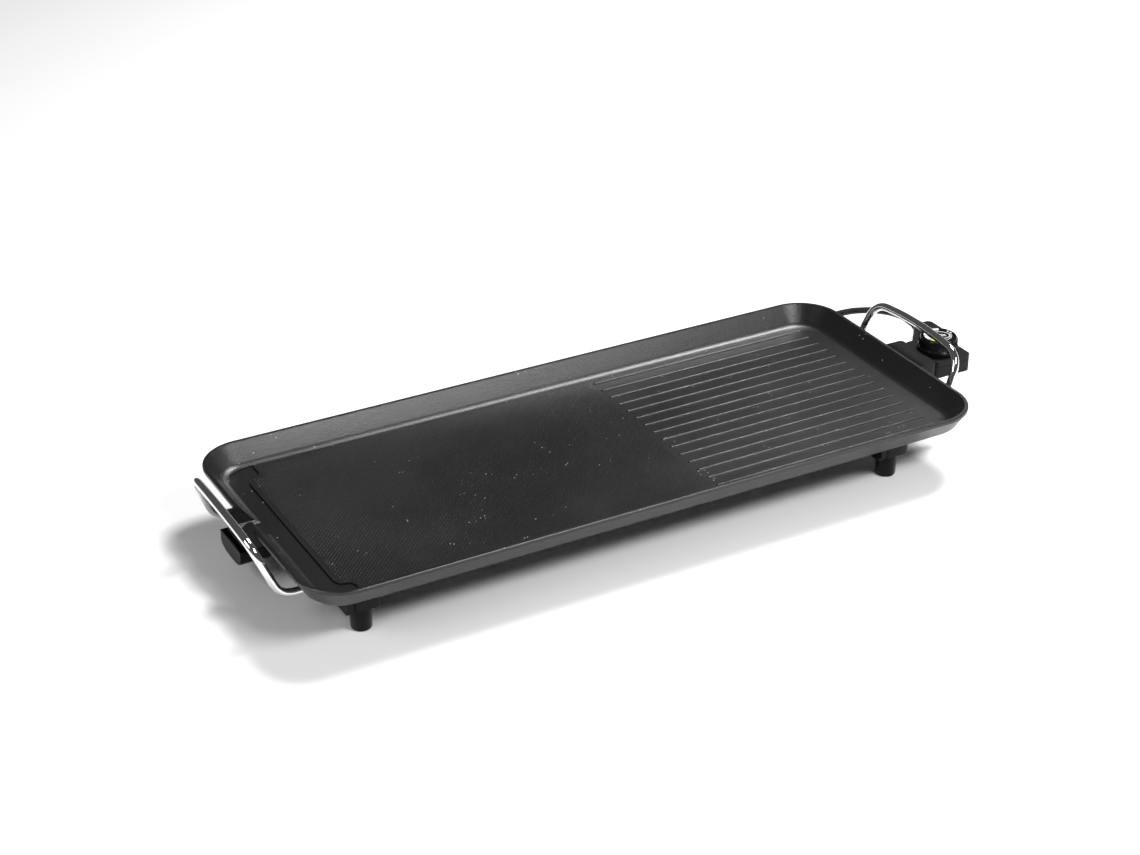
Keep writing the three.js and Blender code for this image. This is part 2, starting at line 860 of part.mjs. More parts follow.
function bimetalBlade() {
  const outline = [
    [396, 43.2],
    [396, 42.4],
    [406, 42.4],
    [418, 41.2],
    [418, 42],
    [406, 43.2],
  ];
  return prismAlong("y", outline.map(([x, z]) => [z, x]), 8, 16);
}

function terminalBlock() {
  const body = block([410, 421], [-21, 3], [38.8, 46.5], 1.5);
  const wells = [-16, -9, -2].map((y) => rod("z", 2, 2, 42, 48, [415.5, y], 12));
  return combine(body, [], wells);
}

function knobShaft() {
  const { x, y, shaftRadius } = KNOB;
  return turned([[0, 39.4], [shaftRadius - 0.4, 39.4], [shaftRadius, 40], [shaftRadius, 65.5], [0, 65.5]], x, y, 24);
}

function knobBody() {
  const { x, y, baseZ, topZ, skirtRadius, bodyRadius, topRadius, capRadius, shaftRadius, segments } = KNOB;
  const profile = [
    [0, baseZ + 6],
    [shaftRadius + 2.5, baseZ + 6],
    [shaftRadius + 2.5, baseZ + 0.4],
    [shaftRadius + FIT_GAP + 3.8, baseZ + 0.4],
    [shaftRadius + FIT_GAP + 3.8, baseZ + 8],
    [bodyRadius - 2.4, baseZ + 8],
    [skirtRadius - 2.4, baseZ],
    [skirtRadius, baseZ],
    [skirtRadius, baseZ + 3.6],
    [bodyRadius, baseZ + 5],
    [topRadius, topZ - 1.6],
    [topRadius - 0.7, topZ - 0.4],
    [topRadius - 1.8, topZ],
    [capRadius + FIT_GAP, topZ],
    [capRadius + FIT_GAP, topZ - 1.4],
    [0, topZ - 1.4],
  ];
  const body = turned(profile, x, y, segments);
  const bore = rod(
    "z", shaftRadius + FIT_GAP, shaftRadius + FIT_GAP, baseZ - 1, 65.9, [x, y], 24,
  );
  return combine(body, [], [bore]);
}

function dialCap() {
  const { x, y, topZ, capRadius, segments } = KNOB;
  const profile = [
    [0, topZ - 1.1],
    [capRadius, topZ - 1.1],
    [capRadius, topZ - 0.2],
    [capRadius * 0.5, topZ + 0.25],
    [0, topZ + 0.35],
  ];
  return turned(profile, x, y, segments);
}

// ---------------------------------------------------------------- cord, coil and plug

function cordRelief() {
  const { x, z, startY, endY, startRadius, endRadius, boreRadius } = BOOT;
  const length = endY - startY;
  const collar = rod("y", startRadius, startRadius, startY, startY + 4, [x, z], 20);
  const taper = rod("y", startRadius - 0.9, endRadius, startY + 3.5, endY, [x, z], 20);
  const ring = rod("y", startRadius - 0.3, startRadius - 0.3, startY + length * 0.3, startY + length * 0.42, [x, z], 20);
  const bore = rod("y", boreRadius, boreRadius, startY - 1, endY + 1, [x, z], 20);
  return combine(collar, [taper, ring], [bore]);
}

function mainsLead() {
  const route = CORD_ROUTE.map(([x, y, z]) => vector(x, y, z));
  return tube(route, CORD.radius, CORD.sides, CORD.steps);
}

function cordCoil() {
  const { x, y, midRadius, halfWidth, halfHeight, cornerRadius, bottomZ, segments } = COIL;
  const outline = roundedRectangle(halfWidth, halfHeight, cornerRadius, 3);
  const profile = [...outline, outline[0]].map(([across, up]) => [
    midRadius + across,
    bottomZ + halfHeight + up,
  ]);
  return turned(profile, x, y, segments);
}

/** A flat band round the bundle of turns at one place. */
function coilTie() {
  const { angle, thickness, halfWidth } = TIE;
  const half = COIL.halfWidth + FIT_GAP;
  const middleZ = COIL.bottomZ + COIL.halfHeight;
  const halfZ = COIL.halfHeight + FIT_GAP;
  const ring = (grow) => roundedRectangle(half + grow, halfZ + grow, COIL.cornerRadius + grow, 4);
  const outer = prismAlong("x", ring(thickness), -halfWidth, halfWidth);
  const inner = prismAlong("x", ring(0), -halfWidth - 1, halfWidth + 1);
  const band = combine(outer, [], [inner]);
  band.rotateZ(angle + Math.PI / 2);
  band.translate(
    COIL.x + COIL.midRadius * Math.cos(angle),
    COIL.y + COIL.midRadius * Math.sin(angle),
    middleZ,
  );
  return band;
}

/** A round earthed plug lying on its side, pins towards -X, its tapered relief towards the coil. */
function plugBody() {
  const { backX, y, radius, bodyLength, reliefLength, segments } = PLUG;
  const frontX = backX - bodyLength;
  const points = [
    [0, frontX],
    [radius - 1, frontX],
    [radius, frontX + 1],
    [radius, frontX + 15],
    [radius * 0.78, backX - 6],
    [radius * 0.5, backX],
    [6.4, backX + 3],
    [4.4, backX + reliefLength],
    [0, backX + reliefLength],
  ].map(([r, x]) => new THREE.Vector2(r, x));
  const body = new THREE.LatheGeometry(points, segments);
  body.rotateZ(-Math.PI / 2);
  body.translate(0, y, radius);
  const sockets = [-1, 1].map((side) => rod(
    "x", PLUG.pinRadius + 0.2, PLUG.pinRadius + 0.2, frontX - 1, frontX + 8,
    [y + (side * PLUG.pinSpacing) / 2, radius], 16,
  ));
  return combine(body, [], sockets);
}

function plugPin(side) {
  const { backX, y, radius, bodyLength, pinLength, pinRadius, pinSpacing } = PLUG;
  const frontX = backX - bodyLength;
  const points = [
    [0, frontX - pinLength],
    [pinRadius * 0.6, frontX - pinLength + 0.3],
    [pinRadius, frontX - pinLength + 1.6],
    [pinRadius, frontX + 7.6],
    [0, frontX + 7.6],
  ].map(([r, x]) => new THREE.Vector2(r, x));
  const pin = new THREE.LatheGeometry(points, 14);
  pin.rotateZ(-Math.PI / 2);
  pin.translate(0, y + (side * pinSpacing) / 2, radius);
  return pin;
}

// ---------------------------------------------------------------- assembly

const griddle = new THREE.Group();
griddle.name = "electric_griddle";

function addPiece(name, geometry, material) {
  const mesh = new THREE.Mesh(geometry, material);
  mesh.name = name;
  griddle.add(mesh);
}

function addPlateAssembly() {
  addPiece("griddle_plate", griddlePlate(), FINISHES.coating);
  addPiece("heating_element", heatingElement(), FINISHES.element);
  STRAP.x.forEach((x, i) => {
    addPiece(`element_strap_${i + 1}`, elementStrap(x), FINISHES.sheet);
    addPiece(`shield_screw_${i + 1}`, panScrew(x, 0, SHIELD.z[0] - FIT_GAP, BOSS.boreTopZ - 0.6), FINISHES.steel);
  });
  addPiece("heat_shield", heatShield(), FINISHES.sheet);
}

function addSupports() {
  const ends = ["left", "right"];
  const sides = [["front", -1], ["back", 1]];
  ends.forEach((end, i) => {
    for (const [name, side] of sides) {
      const x = FOOT.x[i];
      addPiece(`foot_bracket_${end}_${name}`, footBracket(x, side), FINISHES.plastic);
      addPiece(`foot_${end}_${name}`, foot(x, FOOT.y * side), FINISHES.rubber);
      const screw = panScrew(x, (FOOT_SCREW_Y - 6) * side, BRACKET.z[0] + 3.2 - FIT_GAP, BOSS.boreTopZ - 0.6);
      addPiece(`bracket_screw_${end}_${name}`, screw, FINISHES.steel);
    }
  });
  addPiece("handle_left", wireHandle(-1, HANDLE.endX[0]), FINISHES.chrome);
  addPiece("handle_right", wireHandle(1, HANDLE.endX[1]), FINISHES.chrome);
}

function addGreaseParts() {
  addPiece("cup_hanger", cupHanger(), FINISHES.plastic);
  addPiece("drip_cup", dripCup(), FINISHES.plastic);
}

function addSocket() {
  addPiece("terminal_pin_front", terminalPin(-1), FINISHES.nickel);
  addPiece("terminal_pin_back", terminalPin(1), FINISHES.nickel);
  addPiece("socket_guard", socketGuard(), FINISHES.plastic);
}

function addThermostat() {
  addPiece("control_base", controlBase(), FINISHES.plastic);
  addPiece("control_cover", controlCover(), FINISHES.plastic);
  addPiece("contact_sleeve_front", contactSleeve(-1), FINISHES.brass);
  addPiece("contact_sleeve_back", contactSleeve(1), FINISHES.brass);
  addPiece("sensing_probe", sensingProbe(), FINISHES.nickel);
  addPiece("switch_block", switchBlock(), FINISHES.ceramic);
  addPiece("bimetal_blade", bimetalBlade(), FINISHES.brass);
  addPiece("terminal_block", terminalBlock(), FINISHES.ceramic);
  addPiece("knob_shaft", knobShaft(), FINISHES.steel);
  addPiece("knob", knobBody(), FINISHES.knobPlastic);
  addPiece("dial_cap", dialCap(), FINISHES.dial);
}

function addCord() {
  addPiece("cord_relief", cordRelief(), FINISHES.rubber);
  addPiece("mains_lead", mainsLead(), FINISHES.cord);
  addPiece("cord_coil", cordCoil(), FINISHES.cord);
  addPiece("coil_tie", coilTie(), FINISHES.plastic);
  addPiece("plug_body", plugBody(), FINISHES.rubber);
  addPiece("plug_pin_front", plugPin(-1), FINISHES.nickel);
  addPiece("plug_pin_back", plugPin(1), FINISHES.nickel);
}

/** Moves every piece so that the origin is under the middle of the griddle's own bounding box. */
function moveToFrame() {
  const loose = ["mains_lead", "cord_coil", "coil_tie", "plug_body", "plug_pin_front", "plug_pin_back"];
  const box = new THREE.Box3();
  for (const mesh of griddle.children) {
    if (!loose.includes(mesh.name)) {
      box.expandByObject(mesh);
    }
  }
  const centre = box.getCenter(new THREE.Vector3());
  for (const mesh of griddle.children) {
    mesh.geometry.translate(-centre.x, -centre.y, -box.min.z);
  }
}

addPlateAssembly();
addSupports();
addGreaseParts();
addSocket();
addThermostat();
addCord();
moveToFrame();

export default griddle;
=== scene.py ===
"""The finished looks of a long table griddle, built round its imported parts. Metres, +Z up."""

import logging
import math
from collections.abc import Callable, Iterable, Sequence
from dataclasses import dataclass, field
from enum import Enum
from typing import Any

import bmesh
import bpy
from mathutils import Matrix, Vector


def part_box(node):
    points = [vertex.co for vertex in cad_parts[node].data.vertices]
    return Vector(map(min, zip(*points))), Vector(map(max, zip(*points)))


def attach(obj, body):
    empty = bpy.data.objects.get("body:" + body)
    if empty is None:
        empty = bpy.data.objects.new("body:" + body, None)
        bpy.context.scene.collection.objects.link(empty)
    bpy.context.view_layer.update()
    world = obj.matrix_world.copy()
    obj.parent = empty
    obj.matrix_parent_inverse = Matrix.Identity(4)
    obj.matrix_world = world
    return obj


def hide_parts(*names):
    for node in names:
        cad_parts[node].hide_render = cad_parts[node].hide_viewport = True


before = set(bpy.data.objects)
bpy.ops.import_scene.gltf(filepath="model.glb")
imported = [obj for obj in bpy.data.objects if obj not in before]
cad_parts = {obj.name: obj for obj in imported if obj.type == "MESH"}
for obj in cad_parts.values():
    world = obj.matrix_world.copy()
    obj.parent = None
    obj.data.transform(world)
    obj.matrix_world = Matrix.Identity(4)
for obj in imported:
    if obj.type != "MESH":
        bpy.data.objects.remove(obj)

LOG = logging.getLogger("griddle")
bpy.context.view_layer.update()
MM = 0.001
PLATE_HALF_LENGTH = 350.0
PLATE_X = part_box("griddle_plate")[1].x / MM - PLATE_HALF_LENGTH
# Below: millimetres, then two gaps in metres, an angle in degrees, and a share of a bend's leg.
SCREW_TOP = 40.0
CAD_WELD = 2e-6
ROD_WELD = 1e-6
FLAT_ANGLE = 0.4
LONGEST_REACH = 0.48
BALL = {"Segments": 28, "Rings": 14, "Radius": 1.0}

Point = tuple[float, float, float]
Colour = tuple[float, float, float, float]
Material = bpy.types.Material
Object = bpy.types.Object


class Body(Enum):
    """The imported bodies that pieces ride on."""

    GRIDDLE = "griddle"
    THERMOSTAT = "thermostat"
    KNOB = "knob"
    DRIP_CUP = "drip_cup"


def grey(level: float) -> Colour:
    """A neutral linear colour."""
    return (level, level, level, 1.0)


def at(x: float, y: float, z: float) -> Vector:
    """A point given in plate millimetres, in the row frame.

    Args:
        x: Distance from the middle of the plate towards the thermostat.
        y: Distance from the middle of the plate towards the back.
        z: Height over the table.

    Returns:
        The point in metres.
    """
    return Vector((x + PLATE_X, y, z)) * MM


# ---------------------------------------------------------------- node trees


class Wire:
    """A socket that can stand in a Python expression of values."""

    def __init__(self, bench: "Bench", socket: bpy.types.NodeSocket) -> None:
        """Remembers the tree and the socket."""
        self.bench = bench
        self.socket = socket

    def math(self, operation: str, *values: "Wire | float", first: "Wire | float | None" = None) -> "Wire":
        """Adds one Math node.

        Args:
            operation: The node's operation.
            values: What goes into the sockets after this one.
            first: What goes in front of this one, for a reflected operator.

        Returns:
            The node's result.
        """
        ordered = [self, *values] if first is None else [first, self]
        node = self.bench.add("ShaderNodeMath", {"operation": operation}, dict(enumerate(ordered)))
        return Wire(self.bench, node.outputs[0])

    def __add__(self, other: "Wire | float") -> "Wire":
        """self + other."""
        return self.math("ADD", other)

    def __radd__(self, other: float) -> "Wire":
        """other + self."""
        return self.math("ADD", other)

    def __sub__(self, other: "Wire | float") -> "Wire":
        """self - other."""
        return self.math("SUBTRACT", other)

    def __rsub__(self, other: float) -> "Wire":
        """other - self."""
        return self.math("SUBTRACT", first=other)

    def __mul__(self, other: "Wire | float") -> "Wire":
        """self * other."""
        return self.math("MULTIPLY", other)

    def __rmul__(self, other: float) -> "Wire":
        """other * self."""
        return self.math("MULTIPLY", other)

    def __truediv__(self, other: "Wire | float") -> "Wire":
        """self / other."""
        return self.math("DIVIDE", other)

    def __gt__(self, other: "Wire | float") -> "Wire":
        """1 where self is greater than other, else 0."""
        return self.math("GREATER_THAN", other)

    def __lt__(self, other: "Wire | float") -> "Wire":
        """1 where self is less than other, else 0."""
        return self.math("LESS_THAN", other)


class Bench:
    """A node tree under construction, for a material or for a mesh."""

    def __init__(self, tree: bpy.types.NodeTree) -> None:
        """Remembers the tree."""
        self.tree = tree

    def add(
        self,
        kind: str,
        settings: dict[str, Any] | None = None,
        sockets: dict[str | int, Any] | None = None,
    ) -> bpy.types.Node:
        """Adds one node.

        Args:
            kind: The node's type.
            settings: The node's own settings, set before its sockets.
            sockets: Values or Wires for its input sockets, by name or place.

        Returns:
            The new node.
        """
        node = self.tree.nodes.new(kind)
        for name, value in (settings or {}).items():
            setattr(node, name, value)
        for key, value in (sockets or {}).items():
            if isinstance(value, Wire):
                self.tree.links.new(value.socket, node.inputs[key])
            else:
                node.inputs[key].default_value = value
        return node

    def wire(self, node: bpy.types.Node, output: str | int = 0) -> Wire:
        """One output of a node as a Wire."""
        return Wire(self, node.outputs[output])

    def result(
        self,
        kind: str,
        sockets: dict[str | int, Any] | None = None,
        settings: dict[str, Any] | None = None,
        output: str | int = 0,
    ) -> Wire:
        """Adds one node and gives one of its outputs.

        Args:
            kind: The node's type.
            sockets: Values or Wires for its input sockets, by name or place.
            settings: The node's own settings.
            output: The output, by name or place.

        Returns:
            The output as a Wire.
        """
        return self.wire(self.add(kind, settings, sockets), output)


class MaterialBench(Bench):
    """The node tree of one material."""

    def __init__(self, name: str) -> None:
        """Makes an empty material."""
        self.material = bpy.data.materials.new(name)
        self.material.use_nodes = True
        super().__init__(self.material.node_tree)
        self.tree.nodes.clear()
        self.place = self.result("ShaderNodeTexCoord", output="Object")

    def stretched(self, scale: Point) -> Wire:
        """The object coordinates scaled on each axis."""
        return self.result("ShaderNodeMapping", {"Vector": self.place, "Scale": scale})

    def noise(self, scale: float, detail: float = 2.0, rough: float = 0.5, where: Wire | None = None) -> Wire:
        """Smooth noise from 0 to 1.

        Args:
            scale: Features per metre.
            detail: Octaves.
            rough: How strong the fine octaves are.
            where: Coordinates, or the object's own.

        Returns:
            The noise value.
        """
        sockets = {"Vector": where or self.place, "Scale": scale, "Detail": detail, "Roughness": rough}
        return self.result("ShaderNodeTexNoise", sockets)

    def cells(self, scale: float, where: Wire | None = None) -> Wire:
        """Distance to the nearest of scattered points, for flecks and pits."""
        sockets = {"Vector": where or self.place, "Scale": scale}
        return self.result("ShaderNodeTexVoronoi", sockets, output="Distance")

    def ease(self, value: Wire, low: float, high: float, to: tuple[float, float] = (0.0, 1.0)) -> Wire:
        """Maps a value smoothly from one range to another.

        Args:
            value: The value.
            low: Where the change starts.
            high: Where it ends.
            to: The results at the two ends.

        Returns:
            The mapped value.
        """
        ends = {0: value, 1: low, 2: high, 3: to[0], 4: to[1]}
        return self.result("ShaderNodeMapRange", ends, {"interpolation_type": "SMOOTHSTEP"})

    def tint(self, mask: Wire | float, off: Colour | Wire, on: Colour | Wire, blend: str = "MIX") -> Wire:
        """Lays one colour over another.

        Args:
            mask: How much of the upper colour is used.
            off: The lower colour.
            on: The upper colour.
            blend: How the two are blended.

        Returns:
            The colour.
        """
        settings = {"data_type": "RGBA", "blend_type": blend}
        return self.result("ShaderNodeMix", {0: mask, 6: off, 7: on}, settings, 2)

    def bump(self, height: Wire, distance: float, strength: float = 1.0, over: Wire | None = None) -> Wire:
        """A normal from a height of 0 to 1.

        Args:
            height: The height.
            distance: The height's real size in metres.
            strength: How much of it is used.
            over: A normal below this one.

        Returns:
            The normal.
        """
        sockets: dict[str | int, Any] = {"Height": height, "Distance": distance, "Strength": strength}
        if over is not None:
            sockets["Normal"] = over
        return self.result("ShaderNodeBump", sockets)

    def finish(self, **sockets: Any) -> Material:
        """Joins a Principled surface to the output.

        Args:
            sockets: Values or Wires by socket name, with _ for a space.

        Returns:
            The material.
        """
        named = {name.replace("_", " "): value for name, value in sockets.items()}
        surface = self.result("ShaderNodeBsdfPrincipled", named)
        self.add("ShaderNodeOutputMaterial", sockets={"Surface": surface})
        return self.material


# ---------------------------------------------------------------- finishes


@dataclass(frozen=True)
class Coating:
    """A black stoved non-stick coating with a fine orange peel and sparse pale flecks."""

    base: float = 0.006
    mottled: float = 0.011
    fleck: float = 0.4
    grain: float = 900.0
    rough: float = 0.31

    def material(self) -> Material:
        """Builds the material."""
        bench = MaterialBench("nonstick_coating")
        cloud = bench.noise(9.0, 3.0)
        grain = bench.noise(self.grain, 2.0, 0.6)
        scattered = bench.cells(230.0)
        chosen = bench.noise(75.0, 1.0) > 0.66
        fleck = bench.ease(scattered, 0.1, 0.17, (1.0, 0.0)) * chosen
        blotch = bench.ease(cloud * 0.6 + grain * 0.4, 0.35, 0.65)
        ground = bench.tint(blotch, grey(self.base), grey(self.mottled))
        flecks = bench.tint(fleck, grey(0.0), grey(self.fleck))
        shown = bench.tint(1.0, ground, flecks, "LIGHTEN")
        rough = self.rough + 0.1 * (cloud - 0.5) + 0.12 * (grain - 0.5)
        peel = bench.bump(grain * 0.7 + bench.noise(260.0, 2.0) * 0.3, 0.0004, 0.75)
        return bench.finish(Base_Color=shown, Roughness=rough, Normal=peel, Specular_IOR_Level=0.5)


@dataclass(frozen=True)
class Chrome:
    """Bright chrome plate on bent wire, with faint drawing lines."""

    base: float = 0.86

    def material(self) -> Material:
        """Builds the material."""
        bench = MaterialBench("chrome_plate")
        haze = bench.noise(35.0, 4.0, 0.6)
        lines = bench.noise(1400.0, 1.0, 0.5, bench.stretched((1.0, 0.05, 1.0)))
        colour = bench.tint(haze, grey(self.base), (0.78, 0.79, 0.8, 1.0))
        rough = 0.045 + 0.05 * bench.ease(haze, 0.45, 0.8) + 0.02 * lines
        wave = bench.bump(bench.noise(55.0, 2.0), 0.0003, 0.15)
        return bench.finish(Base_Color=colour, Metallic=1.0, Roughness=rough, Normal=wave)


class Gloss(Enum):
    """How shiny a moulded part is, as its mean roughness."""

    SATIN = 0.42
    GLOSSY = 0.2
    MATT = 0.6


@dataclass(frozen=True)
class Moulded:
    """Black moulded plastic with spark-eroded grain."""

    name: str
    base: float = 0.004
    gloss: Gloss = Gloss.SATIN
    grain: float = 1500.0
    depth: float = 0.00008
    shine: float = 0.16

    def material(self) -> Material:
        """Builds the material."""
        bench = MaterialBench(self.name)
        grain = bench.noise(self.grain, 3.0, 0.6)
        flow = bench.noise(22.0, 3.0, 0.5, bench.stretched((1.0, 1.0, 2.6)))
        dust = bench.ease(bench.noise(420.0, 4.0, 0.7), 0.62, 0.74)
        shade = bench.tint(bench.ease(flow, 0.3, 0.7), grey(self.base), grey(self.base * 1.6))
        dusted = bench.tint(dust * 0.05, grey(0.0), grey(0.3))
        colour = bench.tint(1.0, shade, dusted, "ADD")
        rough = self.gloss.value + 0.08 * (flow - 0.5) + 0.1 * (grain - 0.5)
        skin = bench.bump(grain, self.depth, 0.6)
        return bench.finish(Base_Color=colour, Roughness=rough, Normal=skin, Specular_IOR_Level=self.shine)


@dataclass(frozen=True)
class Sheath:
    """The soft black sheath of the lead, with scuffs and a fine skin texture."""

    base: float = 0.005

    def material(self) -> Material:
        """Builds the material."""
        bench = MaterialBench("lead_sheath")
        scuff = bench.noise(140.0, 5.0, 0.65)
        skin = bench.noise(2600.0, 2.0)
        colour = bench.tint(bench.ease(scuff, 0.45, 0.75), grey(self.base), grey(self.base * 2.4))
        rough = 0.36 + 0.16 * scuff
        weave = bench.bump(skin * 0.5 + scuff * 0.5, 0.00008, 0.5)
        return bench.finish(Base_Color=colour, Roughness=rough, Normal=weave)


@dataclass(frozen=True)
class Steel:
    """Bare or plated metal with lines, stains and a little heat colour."""

    name: str
    light: Colour = (0.56, 0.55, 0.53, 1.0)
    dark: Colour = (0.36, 0.35, 0.33, 1.0)
    rough: float = 0.3
    lines: Point = (0.04, 1.0, 1.0)
    metallic: float = 1.0

    def material(self) -> Material:
        """Builds the material."""
        bench = MaterialBench(self.name)
        stain = bench.noise(28.0, 5.0, 0.62)
        lines = bench.noise(900.0, 3.0, 0.6, bench.stretched(self.lines))
        colour = bench.tint(bench.ease(stain * 0.7 + lines * 0.3, 0.35, 0.7), self.light, self.dark)
        rough = self.rough + 0.14 * (stain - 0.4) + 0.12 * (lines - 0.5)
        brushed = bench.bump(lines, 0.00006, 0.5)
        return bench.finish(Base_Color=colour, Metallic=self.metallic, Roughness=rough, Normal=brushed)


@dataclass(frozen=True)
class Ink:
    """Printed dial ink, slightly uneven."""

    name: str
    colour: Colour

    def material(self) -> Material:
        """Builds the material."""
        bench = MaterialBench(self.name)
        wear = bench.ease(bench.noise(900.0, 4.0, 0.7), 0.35, 0.7)
        worn = tuple(channel * 0.7 for channel in self.colour[:3]) + (1.0,)
        colour = bench.tint(wear, self.colour, worn)
        layer = bench.bump(wear, 0.00002, 0.3)
        return bench.finish(Base_Color=colour, Roughness=0.4 + 0.15 * wear, Normal=layer)


def made(finish: Callable[..., Any], *values: Any) -> Any:
    """A field that holds the material of one finish.

    Args:
        finish: The finish's class.
        values: Its values in order.

    Returns:
        The dataclass field.
    """
    return field(default_factory=lambda: finish(*values).material())


@dataclass(frozen=True)
class Paints:
    """Every material of the griddle, made once."""

    coating: Material = made(Coating)
    chrome: Material = made(Chrome)
    plastic: Material = made(Moulded, "control_plastic")
    bracket: Material = made(Moulded, "bracket_plastic", 0.005, Gloss.SATIN, 1100.0)
    knob: Material = made(Moulded, "knob_plastic", 0.004, Gloss.GLOSSY, 2200.0, 0.00002)
    dial: Material = made(Moulded, "dial_black", 0.003, Gloss.GLOSSY, 3000.0, 0.00001)
    rubber: Material = made(Moulded, "foot_rubber", 0.004, Gloss.GLOSSY, 1300.0, 0.00006)
    soft: Material = made(Moulded, "plug_rubber", 0.01, Gloss.MATT, 1700.0, 0.00006)
    sheath: Material = made(Sheath)
    element: Material = made(
        Steel, "element_sheath", (0.11, 0.105, 0.1, 1.0), (0.045, 0.047, 0.05, 1.0), 0.5, (0.2, 1.0, 1.0)
    )
    sheet: Material = made(Steel, "shield_sheet")
    zinc: Material = made(
        Steel, "zinc_plate", (0.62, 0.63, 0.66, 1.0), (0.45, 0.45, 0.42, 1.0), 0.26, (1.0, 1.0, 1.0)
    )
    brass: Material = made(Steel, "brass", (0.7, 0.5, 0.2, 1.0), (0.42, 0.28, 0.1, 1.0), 0.28)
    nickel: Material = made(Steel, "nickel_plate", (0.68, 0.66, 0.61, 1.0), (0.5, 0.48, 0.44, 1.0), 0.2)
    ceramic: Material = made(
        Steel, "ceramic", (0.78, 0.76, 0.7, 1.0), (0.6, 0.56, 0.48, 1.0), 0.55, (1.0, 1.0, 1.0), 0.0
    )
    white: Material = made(Ink, "white_ink", (0.86, 0.87, 0.84, 1.0))
    lime: Material = made(Ink, "lime_ink", (0.5, 0.68, 0.06, 1.0))


# ---------------------------------------------------------------- meshes


def new_object(name: str, data: bpy.types.ID) -> Object:
    """Puts a mesh, a curve, a lamp or a camera into the scene as an object at the origin."""
    placed = bpy.data.objects.new(name, data)
    bpy.context.scene.collection.objects.link(placed)
    return placed


def aimed(name: str, data: bpy.types.ID, place: Point, target: Point) -> Object:
    """Puts a lamp or a camera into the scene, pointing at a target.

    Args:
        name: Its name.
        data: The lamp or the camera.
        place: Where it stands, in metres.
        target: Where it points, in metres.

    Returns:
        The new object.
    """
    placed = new_object(name, data)
    placed.location = place
    placed.rotation_euler = (Vector(target) - Vector(place)).to_track_quat("-Z", "Y").to_euler()
    return placed


def closed_mesh(name: str, work: bmesh.types.BMesh) -> Object:
    """Turns finished mesh work into an object with its faces outwards."""
    bmesh.ops.recalc_face_normals(work, faces=work.faces)
    mesh = bpy.data.meshes.new(name)
    work.to_mesh(mesh)
    work.free()
    return new_object(name, mesh)


def settled(obj: Object) -> Object:
    """Turns an object with modifiers, or a curve, into a plain mesh object of the same name.

    Args:
        obj: The object to settle. It is removed.

    Returns:
        The plain mesh object.
    """
    name = obj.name
    bpy.context.view_layer.update()
    graph = bpy.context.evaluated_depsgraph_get()
    evaluated = obj.evaluated_get(graph)
    mesh = bpy.data.meshes.new_from_object(evaluated, preserve_all_data_layers=True, depsgraph=graph)
    bpy.data.objects.remove(obj)
    mesh.name = name
    return new_object(name, mesh)


def shade(obj: Object, angle: float) -> None:
    """Shades an object smoothly, with edges sharper than the angle (in degrees) kept crisp."""
    obj.data.shade_smooth()
    obj.data.set_sharp_from_angle(angle=math.radians(angle))


@dataclass(frozen=True)
class Edge:
    """How the edges of a moulded or cast piece are broken."""

    width: float = 0.4
    segments: int = 2
    limit: float = 32.0


def refined(node: str, name: str, edge: Edge | None = None, smooth: float = 32.0) -> Object:
    """A merged copy of a CAD node with smooth faces and broken edges.

    Args:
        node: The CAD node.
        name: The new piece's name.
        edge: The edge break in millimetres, or None for crisp edges.
        smooth: Edges flatter than this many degrees are shaded smooth.

    Returns:
        The new object. The node itself isn't touched.
    """
    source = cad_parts[node].data
    mesh = bpy.data.meshes.new(name)
    faces = [tuple(face.vertices) for face in source.polygons]
    mesh.from_pydata([vertex.co.copy() for vertex in source.vertices], [], faces)
    grown = bmesh.new()
    grown.from_mesh(mesh)
    bmesh.ops.remove_doubles(grown, verts=grown.verts, dist=CAD_WELD)
    bmesh.ops.dissolve_limit(
        grown, angle_limit=math.radians(FLAT_ANGLE), verts=grown.verts, edges=grown.edges, delimit={"NORMAL"}
    )
    grown.to_mesh(mesh)
    grown.free()
    made = new_object(name, mesh)
    shade(made, smooth)
    if edge is None:
        return made
    rounding = made.modifiers.new("edges", "BEVEL")
    rounding.width = edge.width * MM
    rounding.segments = edge.segments
    rounding.limit_method = "ANGLE"
    rounding.angle_limit = math.radians(edge.limit)
    rounding.harden_normals = True
    rounding.use_clamp_overlap = True
    return settled(made)


def lathe(
    name: str, profile: Sequence[tuple[float, float]], centre: tuple[float, float], steps: int
) -> Object:
    """A closed turned piece on a vertical axis.

    Args:
        name: The piece's name.
        profile: Radius and height in millimetres, from the axis at the bottom to the axis at the top.
        centre: The axis in plate millimetres.
        steps: Facets round the axis.

    Returns:
        The new object.
    """
    work = bmesh.new()
    rings: list[list[bmesh.types.BMVert]] = []
    for radius, height in profile:
        count = 1 if radius == 0 else steps
        ring = []
        for step in range(count):
            turn = 2 * math.pi * step / steps
            x = centre[0] + radius * math.cos(turn)
            ring.append(work.verts.new(at(x, centre[1] + radius * math.sin(turn), height)))
        rings.append(ring)
    for lower, upper in zip(rings, rings[1:]):
        for step in range(steps):
            after = (step + 1) % steps
            corners = [lower[step % len(lower)], lower[after % len(lower)]]
            corners += [upper[after % len(upper)], upper[step % len(upper)]]
            unique = list(dict.fromkeys(corners))
            if len(unique) > 2:
                work.faces.new(unique)
    return closed_mesh(name, work)


def turned(along: float, across: float, up: float, twist: float) -> Vector:
    """A step from a point, on axes turned about the vertical.

    Args:
        along: Millimetres along the turned axis.
        across: Millimetres across it.
        up: Millimetres up.
        twist: The turn in degrees.

    Returns:
        The step in metres.
    """
    aim = math.radians(twist)
    x = along * math.cos(aim) - across * math.sin(aim)
    y = along * math.sin(aim) + across * math.cos(aim)
    return Vector((x, y, up)) * MM


